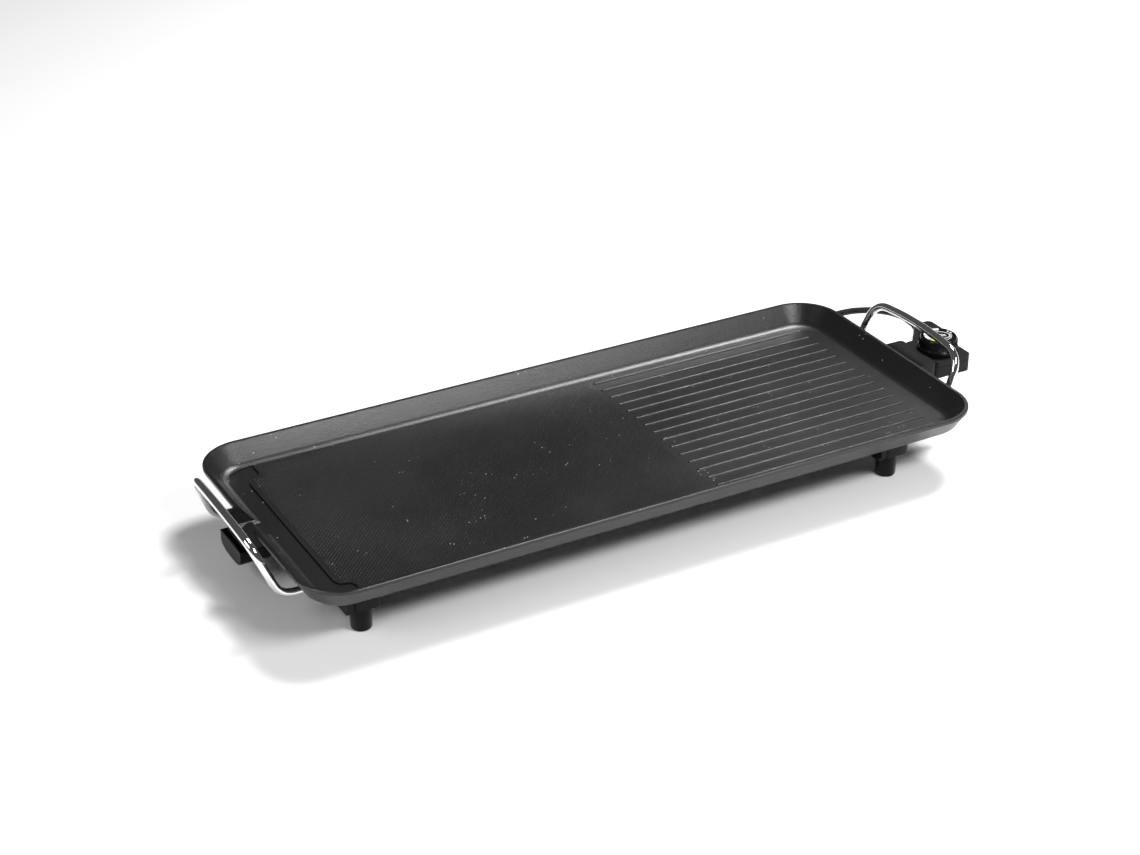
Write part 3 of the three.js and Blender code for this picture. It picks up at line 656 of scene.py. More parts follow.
def sector(
    work: bmesh.types.BMesh, centre: Vector, radii: tuple[float, float], turns: tuple[float, float],
    thick: float, squash: float = 1.0, twist: float = 0.0, steps: int = 12,
) -> None:
    """Adds a thin closed stretch of a flat ring to a mesh.

    Args:
        work: The mesh.
        centre: The ring's centre on its lower face, in metres.
        radii: The inner and outer radius in millimetres.
        turns: The start and end in degrees.
        thick: The thickness in millimetres.
        squash: The ring's width across, as a share of its width along.
        twist: The direction of the ring's long side in degrees.
        steps: Facets along the stretch.
    """
    whole = abs(turns[1] - turns[0]) >= 360
    count = steps if whole else steps + 1
    rings = []
    for step in range(count):
        turn = math.radians(turns[0] + (turns[1] - turns[0]) * step / steps)
        corners = []
        for radius, up in ((radii[0], 0), (radii[1], 0), (radii[1], thick), (radii[0], thick)):
            along, across = radius * math.cos(turn), radius * squash * math.sin(turn)
            corners.append(work.verts.new(centre + turned(along, across, up, twist)))
        rings.append(corners)
    pairs = list(zip(rings, rings[1:] + rings[:1])) if whole else list(zip(rings, rings[1:]))
    for here, there in pairs:
        for corner in range(4):
            after = (corner + 1) % 4
            work.faces.new((here[corner], here[after], there[after], there[corner]))
    if not whole:
        work.faces.new(rings[0])
        work.faces.new(rings[-1][::-1])


def bar(
    work: bmesh.types.BMesh, centre: Vector, along: tuple[float, float], across: tuple[float, float],
    thick: float, twist: float,
) -> None:
    """Adds a thin closed bar to a mesh.

    Args:
        work: The mesh.
        centre: The origin of the bar's own axes, on its lower face, in metres.
        along: The two ends in millimetres.
        across: The two sides in millimetres.
        thick: The thickness in millimetres.
        twist: The direction of the bar in degrees.
    """
    corners = []
    for up in (0, thick):
        for end, side in ((0, 0), (1, 0), (1, 1), (0, 1)):
            corners.append(work.verts.new(centre + turned(along[end], across[side], up, twist)))
    for face in ((3, 2, 1, 0), (4, 5, 6, 7), (0, 1, 5, 4), (1, 2, 6, 5), (2, 3, 7, 6), (3, 0, 4, 7)):
        work.faces.new([corners[corner] for corner in face])


def bent(corners: Sequence[Vector], reaches: Sequence[float], steps: int = 12) -> list[Vector]:
    """A route with each inner corner turned into a smooth bend.

    Args:
        corners: The route's corners.
        reaches: How much of the route each bend takes on either side, in metres, one for each inner corner.
        steps: Points in each bend.

    Returns:
        The points of the smooth route.
    """
    route = [corners[0]]
    for before, here, after, reach in zip(corners, corners[1:], corners[2:], reaches):
        start = here + (before - here).normalized() * min(reach, (before - here).length * LONGEST_REACH)
        end = here + (after - here).normalized() * min(reach, (after - here).length * LONGEST_REACH)
        for step in range(steps + 1):
            share = step / steps
            route.append(start.lerp(here, share).lerp(here.lerp(end, share), share))
    route.append(corners[-1])
    return route


def wire_curve(name: str, points: Sequence[Vector], radius: float, kind: str, fine: int) -> Object:
    """A round rod along a route, as a curve of one open spline.

    Args:
        name: The piece's name.
        points: The route in metres.
        radius: The rod's radius in metres.
        kind: POLY for points that already lie close, BEZIER for a smooth line through them.
        fine: The bevel's resolution.

    Returns:
        The curve object.
    """
    data = bpy.data.curves.new(name, "CURVE")
    data.dimensions = "3D"
    data.bevel_depth = radius
    data.bevel_resolution = fine
    data.use_fill_caps = True
    data.resolution_u = data.render_resolution_u = 5
    spline = data.splines.new(kind)
    rows = spline.bezier_points if kind == "BEZIER" else spline.points
    rows.add(len(points) - 1)
    for row, point in zip(rows, points):
        if kind == "BEZIER":
            row.co = point
            row.handle_left_type = row.handle_right_type = "AUTO"
        else:
            row.co = (*point, 1.0)
    return new_object(name, data)


def bent_rod(name: str, route: Sequence[Vector], radius: float, fine: int) -> Object:
    """A smooth round rod along a route, as one closed mesh.

    Args:
        name: The piece's name.
        route: Points in metres.
        radius: The rod's radius in millimetres.
        fine: How finely it is rounded.

    Returns:
        The new object.
    """
    rod = settled(wire_curve(name, route, radius * MM, "POLY", fine))
    work = bmesh.new()
    work.from_mesh(rod.data)
    bmesh.ops.remove_doubles(work, verts=work.verts, dist=ROD_WELD)
    work.to_mesh(rod.data)
    work.free()
    shade(rod, 50.0)
    return rod


# ---------------------------------------------------------------- repeated shapes


class Pattern(Bench):
    """A Geometry Nodes tree with named inputs, ending in Realize Instances and Set Material."""

    def __init__(self, name: str, inputs: dict[str, str]) -> None:
        """Makes the tree.

        Args:
            name: The tree's name.
            inputs: The named inputs and their socket types. Geometry and Material are added.
        """
        super().__init__(bpy.data.node_groups.new(name, "GeometryNodeTree"))
        face = self.tree.interface
        face.new_socket("Geometry", in_out="INPUT", socket_type="NodeSocketGeometry")
        for label, kind in (inputs | {"Material": "NodeSocketMaterial"}).items():
            face.new_socket(label, in_out="INPUT", socket_type=kind)
        face.new_socket("Geometry", in_out="OUTPUT", socket_type="NodeSocketGeometry")
        self.entry = self.add("NodeGroupInput")
        self.exit = self.add("NodeGroupOutput")

    def given(self, label: str) -> Wire:
        """One of the tree's inputs."""
        return self.wire(self.entry, label)

    def vector(self, x: "Wire | float", y: "Wire | float", z: "Wire | float") -> Wire:
        """Three values as one vector."""
        return self.result("ShaderNodeCombineXYZ", {0: x, 1: y, 2: z})

    def position(self) -> tuple[Wire, Wire, Wire]:
        """The three axes of each point's position."""
        parts = self.add("ShaderNodeSeparateXYZ", sockets={0: self.result("GeometryNodeInputPosition")})
        return self.wire(parts, 0), self.wire(parts, 1), self.wire(parts, 2)

    def moved(self, shape: Wire, place: Wire) -> Wire:
        """A shape in another place."""
        return self.result("GeometryNodeTransform", {"Geometry": shape, "Translation": place})

    def scaled(self, shape: Wire, size: Wire) -> Wire:
        """A shape in another size."""
        return self.result("GeometryNodeTransform", {"Geometry": shape, "Scale": size})

    def joined(self, *shapes: Wire) -> Wire:
        """Several shapes as one."""
        joint = self.add("GeometryNodeJoinGeometry")
        for shape in shapes:
            self.tree.links.new(shape.socket, joint.inputs[0])
        return self.wire(joint)

    def repeated(self, points: Wire, shape: Wire, **more: Wire) -> Wire:
        """A shape on every point, with any further sockets by name."""
        return self.result("GeometryNodeInstanceOnPoints", {"Points": points, "Instance": shape} | more)

    def close(self, shape: Wire) -> None:
        """Ends the tree with plain, dressed geometry."""
        real = self.result("GeometryNodeRealizeInstances", {0: shape})
        sockets = {"Geometry": real, "Material": self.given("Material")}
        dressed = self.result("GeometryNodeSetMaterial", sockets)
        self.tree.links.new(dressed.socket, self.exit.inputs[0])

    def grow(
        self, name: str, material: Material, values: dict[str, float], places: Iterable[Vector] = ()
    ) -> Object:
        """Runs the tree and keeps the result as a plain mesh.

        Args:
            name: The piece's name.
            material: Its material.
            values: The named inputs.
            places: Points that go in as the tree's Geometry.

        Returns:
            The plain mesh object.
        """
        mesh = bpy.data.meshes.new(name)
        mesh.from_pydata(list(places), [], [])
        made = new_object(name, mesh)
        modifier = made.modifiers.new("pattern", "NODES")
        modifier.node_group = self.tree
        identifiers = {
            item.name: item.identifier
            for item in self.tree.interface.items_tree
            if item.item_type == "SOCKET" and item.in_out == "INPUT"
        }
        for label, value in (values | {"Material": material}).items():
            modifier[identifiers[label]] = value
        return settled(made)


def inputs(whole: Sequence[str], real: Sequence[str], places: Sequence[str] = ()) -> dict[str, str]:
    """The socket types of a pattern's inputs, by label.

    Args:
        whole: Labels of whole numbers.
        real: Labels of real numbers.
        places: Labels of vectors.

    Returns:
        The socket type of each label.
    """
    kinds = {"NodeSocketInt": whole, "NodeSocketFloat": real, "NodeSocketVector": places}
    return {label: kind for kind, labels in kinds.items() for label in labels}


def rib_pattern() -> Pattern:
    """Parallel round-backed ribs with round ends, along X, about the Centre input."""
    tree = Pattern("ribs", inputs(["Count"], ["Pitch", "Length", "Width", "Height"], ["Centre"]))
    count, pitch, width = tree.given("Count"), tree.given("Pitch"), tree.given("Width")
    ball = tree.result("GeometryNodeMeshUVSphere", BALL)
    x, y, z = tree.position()
    half = width / 2.0
    # The side is 1 on the ball's right half and -1 on its left, so the halves move apart to the rib's ends.
    side = (x * 1000.0).math("MINIMUM", 1.0).math("MAXIMUM", -1.0)
    reach = tree.given("Length") / 2.0 - half
    stretched = tree.vector(x * half + side * reach, y * half, z * tree.given("Height"))
    rib = tree.result("GeometryNodeSetPosition", {"Geometry": ball, "Position": stretched})
    smooth = tree.result("GeometryNodeSetShadeSmooth", {0: rib})
    row = {"Start Location": tree.vector(0.0, (count - 1.0) * pitch * -0.5, 0.0)}
    row |= {"Count": count, "Offset": tree.vector(0.0, pitch, 0.0)}
    line = tree.result("GeometryNodeMeshLine", row)
    tree.close(tree.moved(tree.repeated(line, smooth), tree.given("Centre")))
    return tree


def diamond_pattern() -> Pattern:
    """A field of low diamond pads between diagonal grooves, without its two left corners."""
    real = ["Pitch", "Pad", "Taper", "Height", "Notch X", "Notch Y"]
    tree = Pattern("diamonds", inputs(["Columns", "Rows"], real, ["Centre"]))
    pitch, columns, rows, pad = (tree.given(label) for label in ("Pitch", "Columns", "Rows", "Pad"))
    counts = {"Size X": (columns - 1.0) * pitch, "Size Y": (rows - 1.0) * pitch}
    grid = tree.result("GeometryNodeMeshGrid", counts | {"Vertices X": columns, "Vertices Y": rows})
    shifted = tree.moved(grid, tree.vector(pitch / 2.0, pitch / 2.0, 0.0))
    spots = tree.moved(tree.joined(grid, shifted), tree.given("Centre"))
    x, y, _ = tree.position()
    notch = (y.math("ABSOLUTE") > tree.given("Notch Y")) * (x < tree.given("Notch X"))
    cleared = {"Geometry": spots, "Selection": notch}
    kept = tree.result("GeometryNodeDeleteGeometry", cleared, {"domain": "POINT"})
    sizes = {"Vertices": 4, "Radius Top": pad * tree.given("Taper"), "Radius Bottom": pad}
    cone = tree.result("GeometryNodeMeshCone", sizes | {"Depth": tree.given("Height")})
    tree.close(tree.repeated(kept, cone))
    return tree


def screw_pattern() -> Pattern:
    """Pan-head screws that point up, each with a cross recess in the head below."""
    tree = Pattern("screws", inputs([], ["Head", "Rise", "Slot", "Shank", "Length"]))
    head, rise, slot, length = (tree.given(label) for label in ("Head", "Rise", "Slot", "Length"))
    dome = tree.scaled(tree.result("GeometryNodeMeshUVSphere", BALL), tree.vector(head, head, rise))
    long, deep, low = head * 1.2, rise * 0.9, tree.vector(0.0, 0.0, rise * -1.0)
    cut = tree.add("GeometryNodeMeshBoolean", {"operation": "DIFFERENCE"}, {"Mesh 1": dome})
    for size in (tree.vector(long, slot, deep), tree.vector(slot, long, deep)):
        cutter = tree.moved(tree.result("GeometryNodeMeshCube", {"Size": size}), low)
        tree.tree.links.new(cutter.socket, cut.inputs["Mesh 2"])
    rod = {"Vertices": 16, "Radius": tree.given("Shank"), "Depth": length}
    shank = tree.result("GeometryNodeMeshCylinder", rod)
    raised = tree.moved(shank, tree.vector(0.0, 0.0, length / 2.0))
    tree.close(tree.repeated(tree.given("Geometry"), tree.joined(tree.wire(cut), raised)))
    return tree


def ring_pattern() -> Pattern:
    """Upright round ridges in a ring about the Centre input."""
    tree = Pattern("ring", inputs(["Count"], ["Radius", "Wide", "Deep", "Tall"], ["Centre"]))
    count, radius = tree.given("Count"), tree.given("Radius")
    line = tree.result("GeometryNodeMeshLine", {"Count": count})
    turn = tree.result("GeometryNodeInputIndex") * math.tau / count
    spot = tree.vector(radius * turn.math("COSINE"), radius * turn.math("SINE"), 0.0)
    placed = tree.result("GeometryNodeSetPosition", {"Geometry": line, "Position": spot})
    rod = tree.result("GeometryNodeMeshCylinder", {"Vertices": 12, "Radius": 0.5, "Depth": 1.0})
    ridge = tree.scaled(rod, tree.vector(tree.given("Deep"), tree.given("Wide"), tree.given("Tall")))
    ring = tree.repeated(placed, ridge, Rotation=tree.vector(0.0, 0.0, turn))
    tree.close(tree.moved(ring, tree.given("Centre")))
    return tree


# ---------------------------------------------------------------- sub-assemblies


@dataclass
class Assembly:
    """A group of pieces that ride on one body."""

    paints: Paints
    body: Body = Body.GRIDDLE

    def put(
        self,
        piece: Object,
        material: Material | None,
        slot: str,
        replaced: Sequence[str] = (),
        body: Body | None = None,
    ) -> Object:
        """Dresses a new piece and fixes it to its body.

        Args:
            piece: The piece.
            material: Its material, or None if it has one.
            slot: A material slot name. Not used.
            replaced: The CAD nodes it stands for.
            body: The body it rides on, or the assembly's own.

        Returns:
            The piece.
        """
        if material is not None:
            piece.data.materials.clear()
            piece.data.materials.append(material)
        rider = body or self.body
        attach(piece, rider.value)
        if replaced:
            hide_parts(*replaced)
        LOG.info("%s rides on %s", piece.name, rider.value)
        return piece

    def dress(self, nodes: Iterable[str], material: Material) -> None:
        """Gives CAD nodes that stay as they are a finish, in their own slots."""
        for name in nodes:
            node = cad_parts[name]
            if not node.material_slots:
                node.data.materials.append(material)
            for place in node.material_slots:
                place.link = "OBJECT"
                place.material = material
            LOG.info("%s is dressed in %s", name, material.name)

    def polish(
        self, nodes: Iterable[str], material: Material, slot: str, edge: Edge | None = None,
        smooth: float = 32.0, body: Body | None = None,
    ) -> None:
        """Replaces each CAD node by a merged copy with smooth faces and broken edges.

        Args:
            nodes: The CAD nodes.
            material: Their finish.
            slot: A material slot name, passed on to put, which doesn't use it.
            edge: The edge break, or None.
            smooth: The smooth shading angle in degrees.
            body: The body they ride on, or the assembly's own.
        """
        for name in nodes:
            self.put(refined(name, f"{name}_finished", edge, smooth), material, slot, [name], body)


@dataclass
class Plate(Assembly):
    """The cast plate with its cooking ribs and its diamond field."""

    floor: float = 46.0
    rib_count: int = 15
    rib_pitch: float = 16.5
    rib_ends: tuple[float, float] = (63.9, 312.1)
    rib_width: float = 3.6
    rib_height: float = 1.06
    field_x: tuple[float, float] = (-307.0, 59.5)
    field_half_y: float = 121.0
    notch: tuple[float, float] = (-293.0, 101.0)
    cell: float = 4.2
    pad: float = 1.75
    pad_height: float = 0.17
    pad_taper: float = 0.8
    pad_sink: float = 0.01

    def build(self) -> None:
        """Builds and dresses the plate."""
        self.polish(["griddle_plate"], self.paints.coating, "coating", Edge(0.5, 2, 40.0), 34.0)
        self.add_ribs()
        self.add_diamonds()

    def add_ribs(self) -> None:
        """The smooth backs of the cooking ribs."""
        start, end = self.rib_ends
        values = {
            "Count": self.rib_count,
            "Pitch": self.rib_pitch * MM,
            "Length": (end - start) * MM,
            "Width": self.rib_width * MM,
            "Height": self.rib_height * MM,
            "Centre": at((start + end) / 2, 0.0, self.floor),
        }
        self.put(rib_pattern().grow("cooking_ribs", self.paints.coating, values), None, "coating")

    def add_diamonds(self) -> None:
        """The low diamond pads of the flat half."""
        # Half the pads are shifted by half a cell, so the whole field goes back by a quarter.
        back = self.cell / 4
        values = {
            "Columns": int((self.field_x[1] - self.field_x[0]) / self.cell),
            "Rows": int(2 * self.field_half_y / self.cell),
            "Pitch": self.cell * MM,
            "Pad": self.pad * MM,
            "Taper": self.pad_taper,
            "Height": self.pad_height * MM,
            "Notch X": at(self.notch[0], 0.0, 0.0).x,
            "Notch Y": self.notch[1] * MM,
            "Centre": at(sum(self.field_x) / 2 - back, -back, self.floor - self.pad_sink),
        }
        self.put(diamond_pattern().grow("diamond_field", self.paints.coating, values), None, "coating")


@dataclass
class Heating(Assembly):
    """The element under the plate with its straps, shield and screws."""

    element_radius: float = 3.45
    element_half: tuple[Point, ...] = (
        (352.0, 12.0, 44.0),
        (346.5, 12.0, 37.8),
        (286.0, 12.0, 38.0),
        (232.0, 54.0, 38.0),
        (-215.0, 54.0, 38.0),
    )
    reaches: tuple[float, ...] = (6.0, 20.0, 26.0, 34.0)

    def build(self) -> None:
        """Builds and dresses the heating parts."""
        front = [at(x, -y, z) for x, y, z in self.element_half]
        back = [at(*point) for point in reversed(self.element_half)]
        reaches = [reach * MM for reach in self.reaches + self.reaches[::-1]]
        element = bent_rod("heating_element_finished", bent(front + back, reaches), self.element_radius, 5)
        self.put(element, self.paints.element, "element", ["heating_element"])
        straps = [f"element_strap_{number}" for number in (1, 2, 3)]
        self.polish(straps, self.paints.sheet, "sheet", Edge(0.15, 1))
        self.polish(["heat_shield"], self.paints.sheet, "sheet", Edge(0.2, 1))
        self.polish(["terminal_pin_front", "terminal_pin_back"], self.paints.nickel, "nickel", Edge(0.2))
        screws(self, [f"shield_screw_{number}" for number in (1, 2, 3)])


@dataclass(frozen=True)
class PanHead:
    """The size of the screws in millimetres."""

    rise: float = 1.9
    slot: float = 1.1
    shank: float = 1.85


def screws(owner: Assembly, nodes: Sequence[str], size: PanHead = PanHead()) -> None:
    """Replaces CAD screws by cross-recessed ones in the same places.

    Args:
        owner: The assembly that they belong to.
        nodes: The CAD screws, all with the same height.
        size: Their size.
    """
    tree = screw_pattern()
    for node in nodes:
        low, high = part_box(node)
        rise = size.rise * MM
        centre = Vector(((low.x + high.x) / 2, (low.y + high.y) / 2, low.z + rise))
        values = {
            "Head": (high.x - low.x) / 2,
            "Rise": rise,
            "Slot": size.slot * MM,
            "Shank": size.shank * MM,
            "Length": min(SCREW_TOP * MM, high.z) - centre.z,
        }
        piece = tree.grow(f"{node}_finished", owner.paints.zinc, values, [centre])
        shade(piece, 35.0)
        owner.put(piece, None, "steel", [node])


@dataclass
class Underside(Assembly):
    """Brackets, feet and their screws."""

    corners: tuple[str, ...] = ("left_front", "left_back", "right_front", "right_back")

    def build(self) -> None:
        """Builds and dresses the brackets, feet and screws."""
        brackets = [f"foot_bracket_{corner}" for corner in self.corners]
        self.polish(brackets, self.paints.bracket, "plastic", Edge(0.5, 3))
        feet = [f"foot_{corner}" for corner in self.corners]
        self.polish(feet, self.paints.rubber, "rubber", Edge(0.5, 3, 25.0))
        screws(self, [f"bracket_screw_{corner}" for corner in self.corners])


@dataclass
class Handles(Assembly):
    """The two bent wire handles."""

    lower: tuple[float, float, float] = (353.0, 76.0, 33.0)
    upper: tuple[float, float, float] = (373.5, 70.0, 84.0)
    arch: float = 4.5
    arch_out: float = 1.7
    ends: tuple[float, float] = (288.0, 262.0)
    radius: float = 3.98
    bar_shares: tuple[float, ...] = (-0.4, 0.0, 0.4)
    reaches: tuple[float, ...] = (14.0, 21.0, 12.0, 12.0, 12.0, 21.0, 14.0)

    def corners(self, side: int, end: float) -> list[Vector]:
        """The handle's corners from one hidden end to the other.

        Args:
            side: -1 for the left handle, 1 for the right one.
            end: How far from the middle the hidden ends are.

        Returns:
            The corners in metres.
        """
        low_x, low_y, low_z = self.lower
        top_x, top_y, top_z = self.upper
        half = [at(side * end, -low_y, low_z), at(side * low_x, -low_y, low_z)]
        half.append(at(side * top_x, -top_y, top_z))
        bar = []
        for share in self.bar_shares:
            rise = 1 - share * share
            bar.append(at(side * (top_x + self.arch_out * rise), top_y * share, top_z + self.arch * rise))
        rest = [at(side * top_x, top_y, top_z), at(side * low_x, low_y, low_z), at(side * end, low_y, low_z)]
        return half + bar + rest

    def build(self) -> None:
        """Builds both handles."""
        reaches = [reach * MM for reach in self.reaches]
        for side, name, end in ((-1, "handle_left", self.ends[0]), (1, "handle_right", self.ends[1])):
            route = bent(self.corners(side, end), reaches)
            rod = bent_rod(f"{name}_finished", route, self.radius, 7)
            self.put(rod, self.paints.chrome, "chrome", [name])


@dataclass
class GreaseParts(Assembly):
    """The drip cup and the hanger that it slides out of."""

    def build(self) -> None:
        """Builds and dresses the cup and the hanger."""
        self.polish(["cup_hanger"], self.paints.bracket, "plastic", Edge(0.3))
        self.polish(["drip_cup"], self.paints.plastic, "plastic", Edge(0.4, 3), 32.0, Body.DRIP_CUP)


@dataclass
class Control(Assembly):
    """The plug-in thermostat with its guard, knob and dial."""

    axis: tuple[float, float] = (402.0, -1.0)
    top: float = 70.0
    cap: float = 16.5
    cap_depth: float = 1.1
    grips: int = 72
    grip_radius: float = 19.15
    grip_middle: float = 63.9
    grip_size: Point = (1.1, 0.8, 6.6)
    ink: float = 0.2
    ink_rise: float = 0.02
    ink_rim: float = 15.2
    blocks: tuple[Point, ...] = (
        (158.0, 192.0, 11.6),
        (122.0, 153.0, 11.3),
        (86.0, 117.0, 11.0),
        (54.0, 81.0, 10.8),
    )
    ticks: range = range(-118, -20, 12)
    badge_shift: Point = (1.4, -0.9, 0.0)
    badge_turn: float = -34.0
    badge_ring: tuple[float, float] = (8.9, 9.8)
    badge_squash: float = 0.82
    badge_rise: float = 0.33
    badge_bars: tuple[Point, ...] = ((0.7, 1.7, 31.0 / 6), (-1.9, -0.9, 35.0 / 6))

    def build(self) -> None:
        """Builds and dresses the guard, the housing, its insides and the knob."""
        self.polish(["socket_guard"], self.paints.plastic, "plastic", Edge(0.5, 3), 32.0, Body.GRIDDLE)
        self.polish(["control_base", "control_cover"], self.paints.plastic, "plastic", Edge(0.5, 3))
        self.polish(["cord_relief"], self.paints.rubber, "rubber", Edge(0.4, 3), 40.0)
        self.dress(["contact_sleeve_front", "contact_sleeve_back", "bimetal_blade"], self.paints.brass)
        self.dress(["switch_block", "terminal_block"], self.paints.ceramic)
        self.dress(["sensing_probe"], self.paints.nickel)
        self.dress(["knob_shaft"], self.paints.zinc)
        self.add_knob()
        self.add_dial()

    def add_knob(self) -> None:
        """The knob's shell, with two tiers and a ring of fine grips."""
        self.polish(["knob"], self.paints.knob, "knob_plastic", Edge(0.5, 3, 28.0), 38.0, Body.KNOB)
        deep, wide, tall = (side * MM for side in self.grip_size)
        values = {
            "Count": self.grips,
            "Radius": self.grip_radius * MM,
            "Wide": wide,
            "Deep": deep,
            "Tall": tall,
            "Centre": at(*self.axis, self.grip_middle),
        }
        grips = ring_pattern().grow("knob_grips", self.paints.knob, values)
        shade(grips, 40.0)
        self.put(grips, None, "knob_plastic", (), Body.KNOB)

    def add_dial(self) -> None:
        """The dial disc and its printed scale."""
        low = self.top - self.cap_depth
        profile = [(0.0, low), (self.cap, low), (self.cap, self.top - 0.3), (self.cap - 0.3, self.top)]
        profile += [(12.0, self.top + 0.15), (0.0, self.top + 0.3)]
        disc = lathe("dial_disc", profile, self.axis, 96)
        shade(disc, 40.0)
        self.put(disc, self.paints.dial, "dial", ["dial_cap"], Body.KNOB)
        base = at(*self.axis, self.top + self.ink_rise)
        scale = bmesh.new()
        badge = base + Vector(self.badge_shift) * MM
        whole = (0.0, 360.0)
        sector(scale, badge, self.badge_ring, whole, self.badge_rise, self.badge_squash, self.badge_turn, 72)
        for near, far, half in self.badge_bars:
            bar(scale, badge, (-half, half), (near, far), self.badge_rise, self.badge_turn)
        for start, end, inner in self.blocks:
            sector(scale, base, (inner, self.ink_rim), (start, end), self.ink)
        for turn in self.ticks:
            sector(scale, base, (11.9, 13.4), (turn, turn + 5.0), self.ink, steps=3)
        for turn in (-8.0, 8.0):
            sector(scale, base, (12.4, 15.0), (turn, turn + 6.0), self.ink, steps=3)
        self.put(closed_mesh("dial_scale", scale), self.paints.white, "dial", (), Body.KNOB)
        mark = bmesh.new()
        sector(mark, base, (11.8, self.ink_rim), (197.0, 224.0), self.ink)
        self.put(closed_mesh("dial_low_mark", mark), self.paints.lime, "dial", (), Body.KNOB)


@dataclass
class MainsLead(Assembly):
    """The lead, its unseen length in a tied coil, and its plug."""

    diameter: float = 7.0
    length: float = 1.5
    route: tuple[Point, ...] = (
        (418.0, 60.0, 53.5),
        (418.0, 74.0, 53.2),
        (417.5, 90.0, 51.5),
        (412.0, 108.0, 49.0),
        (400.0, 124.0, 46.2),
        (384.0, 136.0, 42.5),
        (364.0, 144.5, 36.0),
        (342.0, 148.0, 28.5),
        (318.0, 146.5, 21.5),
        (296.0, 141.0, 16.2),
        (276.0, 134.5, 13.2),
        (261.0, 130.2, 12.3),
        (246.0, 128.1, 12.0),
    )
    coil_centre: tuple[float, float] = (232.0, 170.0)
    coil_radii: tuple[float, float] = (42.1, 34.9)
    coil_heights: tuple[float, float, float] = (4.9, 12.0, 19.1)
    turns: int = 5
    points_per_turn: int = 24
    steps: tuple[tuple[float, float], ...] = (
        (331.0, 57.0),
        (610.0, 100.0),
        (890.0, 57.0),
        (1250.0, 57.0),
        (1525.0, 100.0),
    )
    tail: tuple[Point, ...] = ((222.0, 127.9, 19.0), (210.0, 127.9, 18.7), (186.0, 127.9, 18.5))

    def places(self) -> list[tuple[float, float]]:
        """The radius and height of each turn in order: the middle outside, down, in, up and out again."""
        outer, inner = self.coil_radii
        low, middle, high = self.coil_heights
        return [(outer, middle), (outer, low), (inner, low), (inner, middle), (inner, high), (outer, high)]

    def coil(self) -> list[Vector]:
        """The coil's turns. Each step from one place to the next has its middle and its length in degrees."""
        places = self.places()
        count = self.turns * self.points_per_turn
        points = []
        for step in range(count + 1):
            travelled = 360.0 * step / self.points_per_turn
            radius, height = places[0]
            for (middle, sweep), (next_radius, next_height) in zip(self.steps, places[1:]):
                share = min(max((travelled - middle) / sweep + 0.5, 0.0), 1.0)
                eased = share * share * (3 - 2 * share)
                radius += (next_radius - radius) * eased
                height += (next_height - height) * eased
            turn = math.radians(-90.0 - travelled)
            x = self.coil_centre[0] + radius * math.cos(turn)
            points.append(at(x, self.coil_centre[1] + radius * math.sin(turn), height))
        return points

    def build(self) -> None:
        """Builds the lead and dresses what is on it."""
        points = [at(*point) for point in self.route] + self.coil() + [at(*point) for point in self.tail]
        lead = wire_curve("mains_lead_finished", points, self.diameter / 2 * MM, "BEZIER", 4)
        self.put(lead, self.paints.sheath, "cord_rubber", ["mains_lead", "cord_coil"])
        self.polish(["coil_tie"], self.paints.plastic, "plastic", Edge(0.25))
        self.polish(["plug_body"], self.paints.soft, "rubber", Edge(0.5, 3), 40.0)
        pins = ["plug_pin_front", "plug_pin_back"]
        self.dress(pins, self.paints.nickel)
        on_lead = [bpy.data.objects[f"{name}_finished"] for name in ("coil_tie", "plug_body", "cord_relief")]
        on_lead += [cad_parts[name] for name in pins]
        tuple(at(*self.route[0]))


# ---------------------------------------------------------------- studio


@dataclass(frozen=True)
class Lamp:
    """One soft box."""

    name: str
    place: Point
    aim: Point
    size: tuple[float, float]
    power: float

    def build(self) -> None:
        """Puts the lamp into the scene."""
        data = bpy.data.lights.new(self.name, "AREA")
        data.shape = "RECTANGLE"
        data.size, data.size_y = self.size
        data.energy = self.power
        aimed(self.name, data, self.place, self.aim)


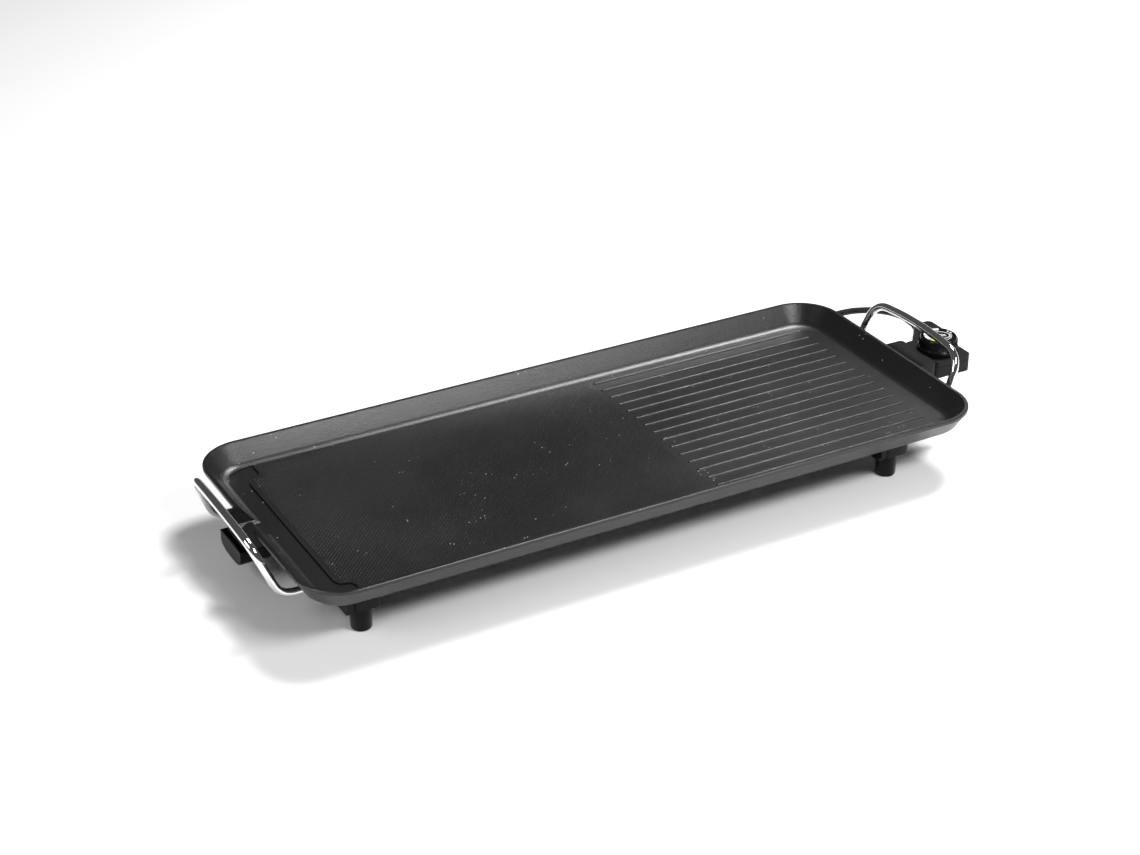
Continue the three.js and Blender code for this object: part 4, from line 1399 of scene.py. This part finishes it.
@dataclass(frozen=True)
class Studio:
    """The camera, the floor and the light."""

    eye: Point = (-0.9555, -1.6364, 1.0915)
    target: Point = (0.0168, 0.1212, 0.0)
    lens: float = 71.75
    floor_size: float = 14.0
    lamps: tuple[Lamp, ...] = (
        Lamp("key", (1.51, 0.7, 2.38), (0.0, 0.0, 0.0), (0.8, 0.8), 92.0),
        Lamp("front_box", (0.45, -1.12, 1.31), (-0.18, 0.14, 0.06), (0.75, 0.42), 22.0),
        Lamp("left_box", (-1.7, -0.3, 1.2), (0.0, 0.0, 0.0), (1.0, 0.7), 13.0),
    )
    sky: float = 0.08
    backdrop: float = 1.2

    def build(self) -> None:
        """Builds the whole studio."""
        bpy.context.scene.view_settings.view_transform = "Standard"
        self.add_camera()
        self.add_floor()
        self.add_sky()
        for lamp in self.lamps:
            lamp.build()

    def add_camera(self) -> None:
        """Places the camera."""
        data = bpy.data.cameras.new("camera")
        data.sensor_fit = "HORIZONTAL"
        data.sensor_width = 36.0
        data.lens = self.lens
        data.clip_start, data.clip_end = 0.05, 60.0
        bpy.context.scene.camera = aimed("camera", data, self.eye, self.target)

    def add_floor(self) -> None:
        """Lays a plain white floor."""
        half = self.floor_size / 2
        mesh = bpy.data.meshes.new("floor")
        corners = [(-half, -half, 0.0), (half, -half, 0.0), (half, half, 0.0), (-half, half, 0.0)]
        mesh.from_pydata(corners, [], [(0, 1, 2, 3)])
        floor = new_object("floor", mesh)
        bench = MaterialBench("floor_paper")
        soft = bench.noise(3.0, 2.0)
        colour = bench.tint(soft, grey(0.93), grey(0.95))
        mesh.materials.append(bench.finish(Base_Color=colour, Roughness=0.9, Specular_IOR_Level=0.0))

    def add_sky(self) -> None:
        """Gives an even white light all round, brighter behind the object than what lights it."""
        world = bpy.data.worlds.new("studio")
        world.use_nodes = True
        bpy.context.scene.world = world
        bench = Bench(world.node_tree)
        world.node_tree.nodes.clear()
        seen = bench.result("ShaderNodeLightPath", output="Is Camera Ray")
        lights, shown = (
            bench.result("ShaderNodeBackground", {"Color": grey(1.0), "Strength": strength})
            for strength in (self.sky, self.backdrop)
        )
        both = bench.result("ShaderNodeMixShader", {0: seen, 1: lights, 2: shown})
        bench.add("ShaderNodeOutputWorld", sockets={"Surface": both})


def main() -> None:
    """Builds the griddle and its studio."""
    logging.basicConfig(level=logging.INFO, format="%(name)s: %(message)s")
    Studio().build()
    paints = Paints()
    Control(paints, Body.THERMOSTAT).build()
    MainsLead(paints, Body.THERMOSTAT).build()
    Plate(paints).build()
    Heating(paints).build()
    Underside(paints).build()
    Handles(paints).build()
    GreaseParts(paints).build()


if __name__ == "__main__":
    main()
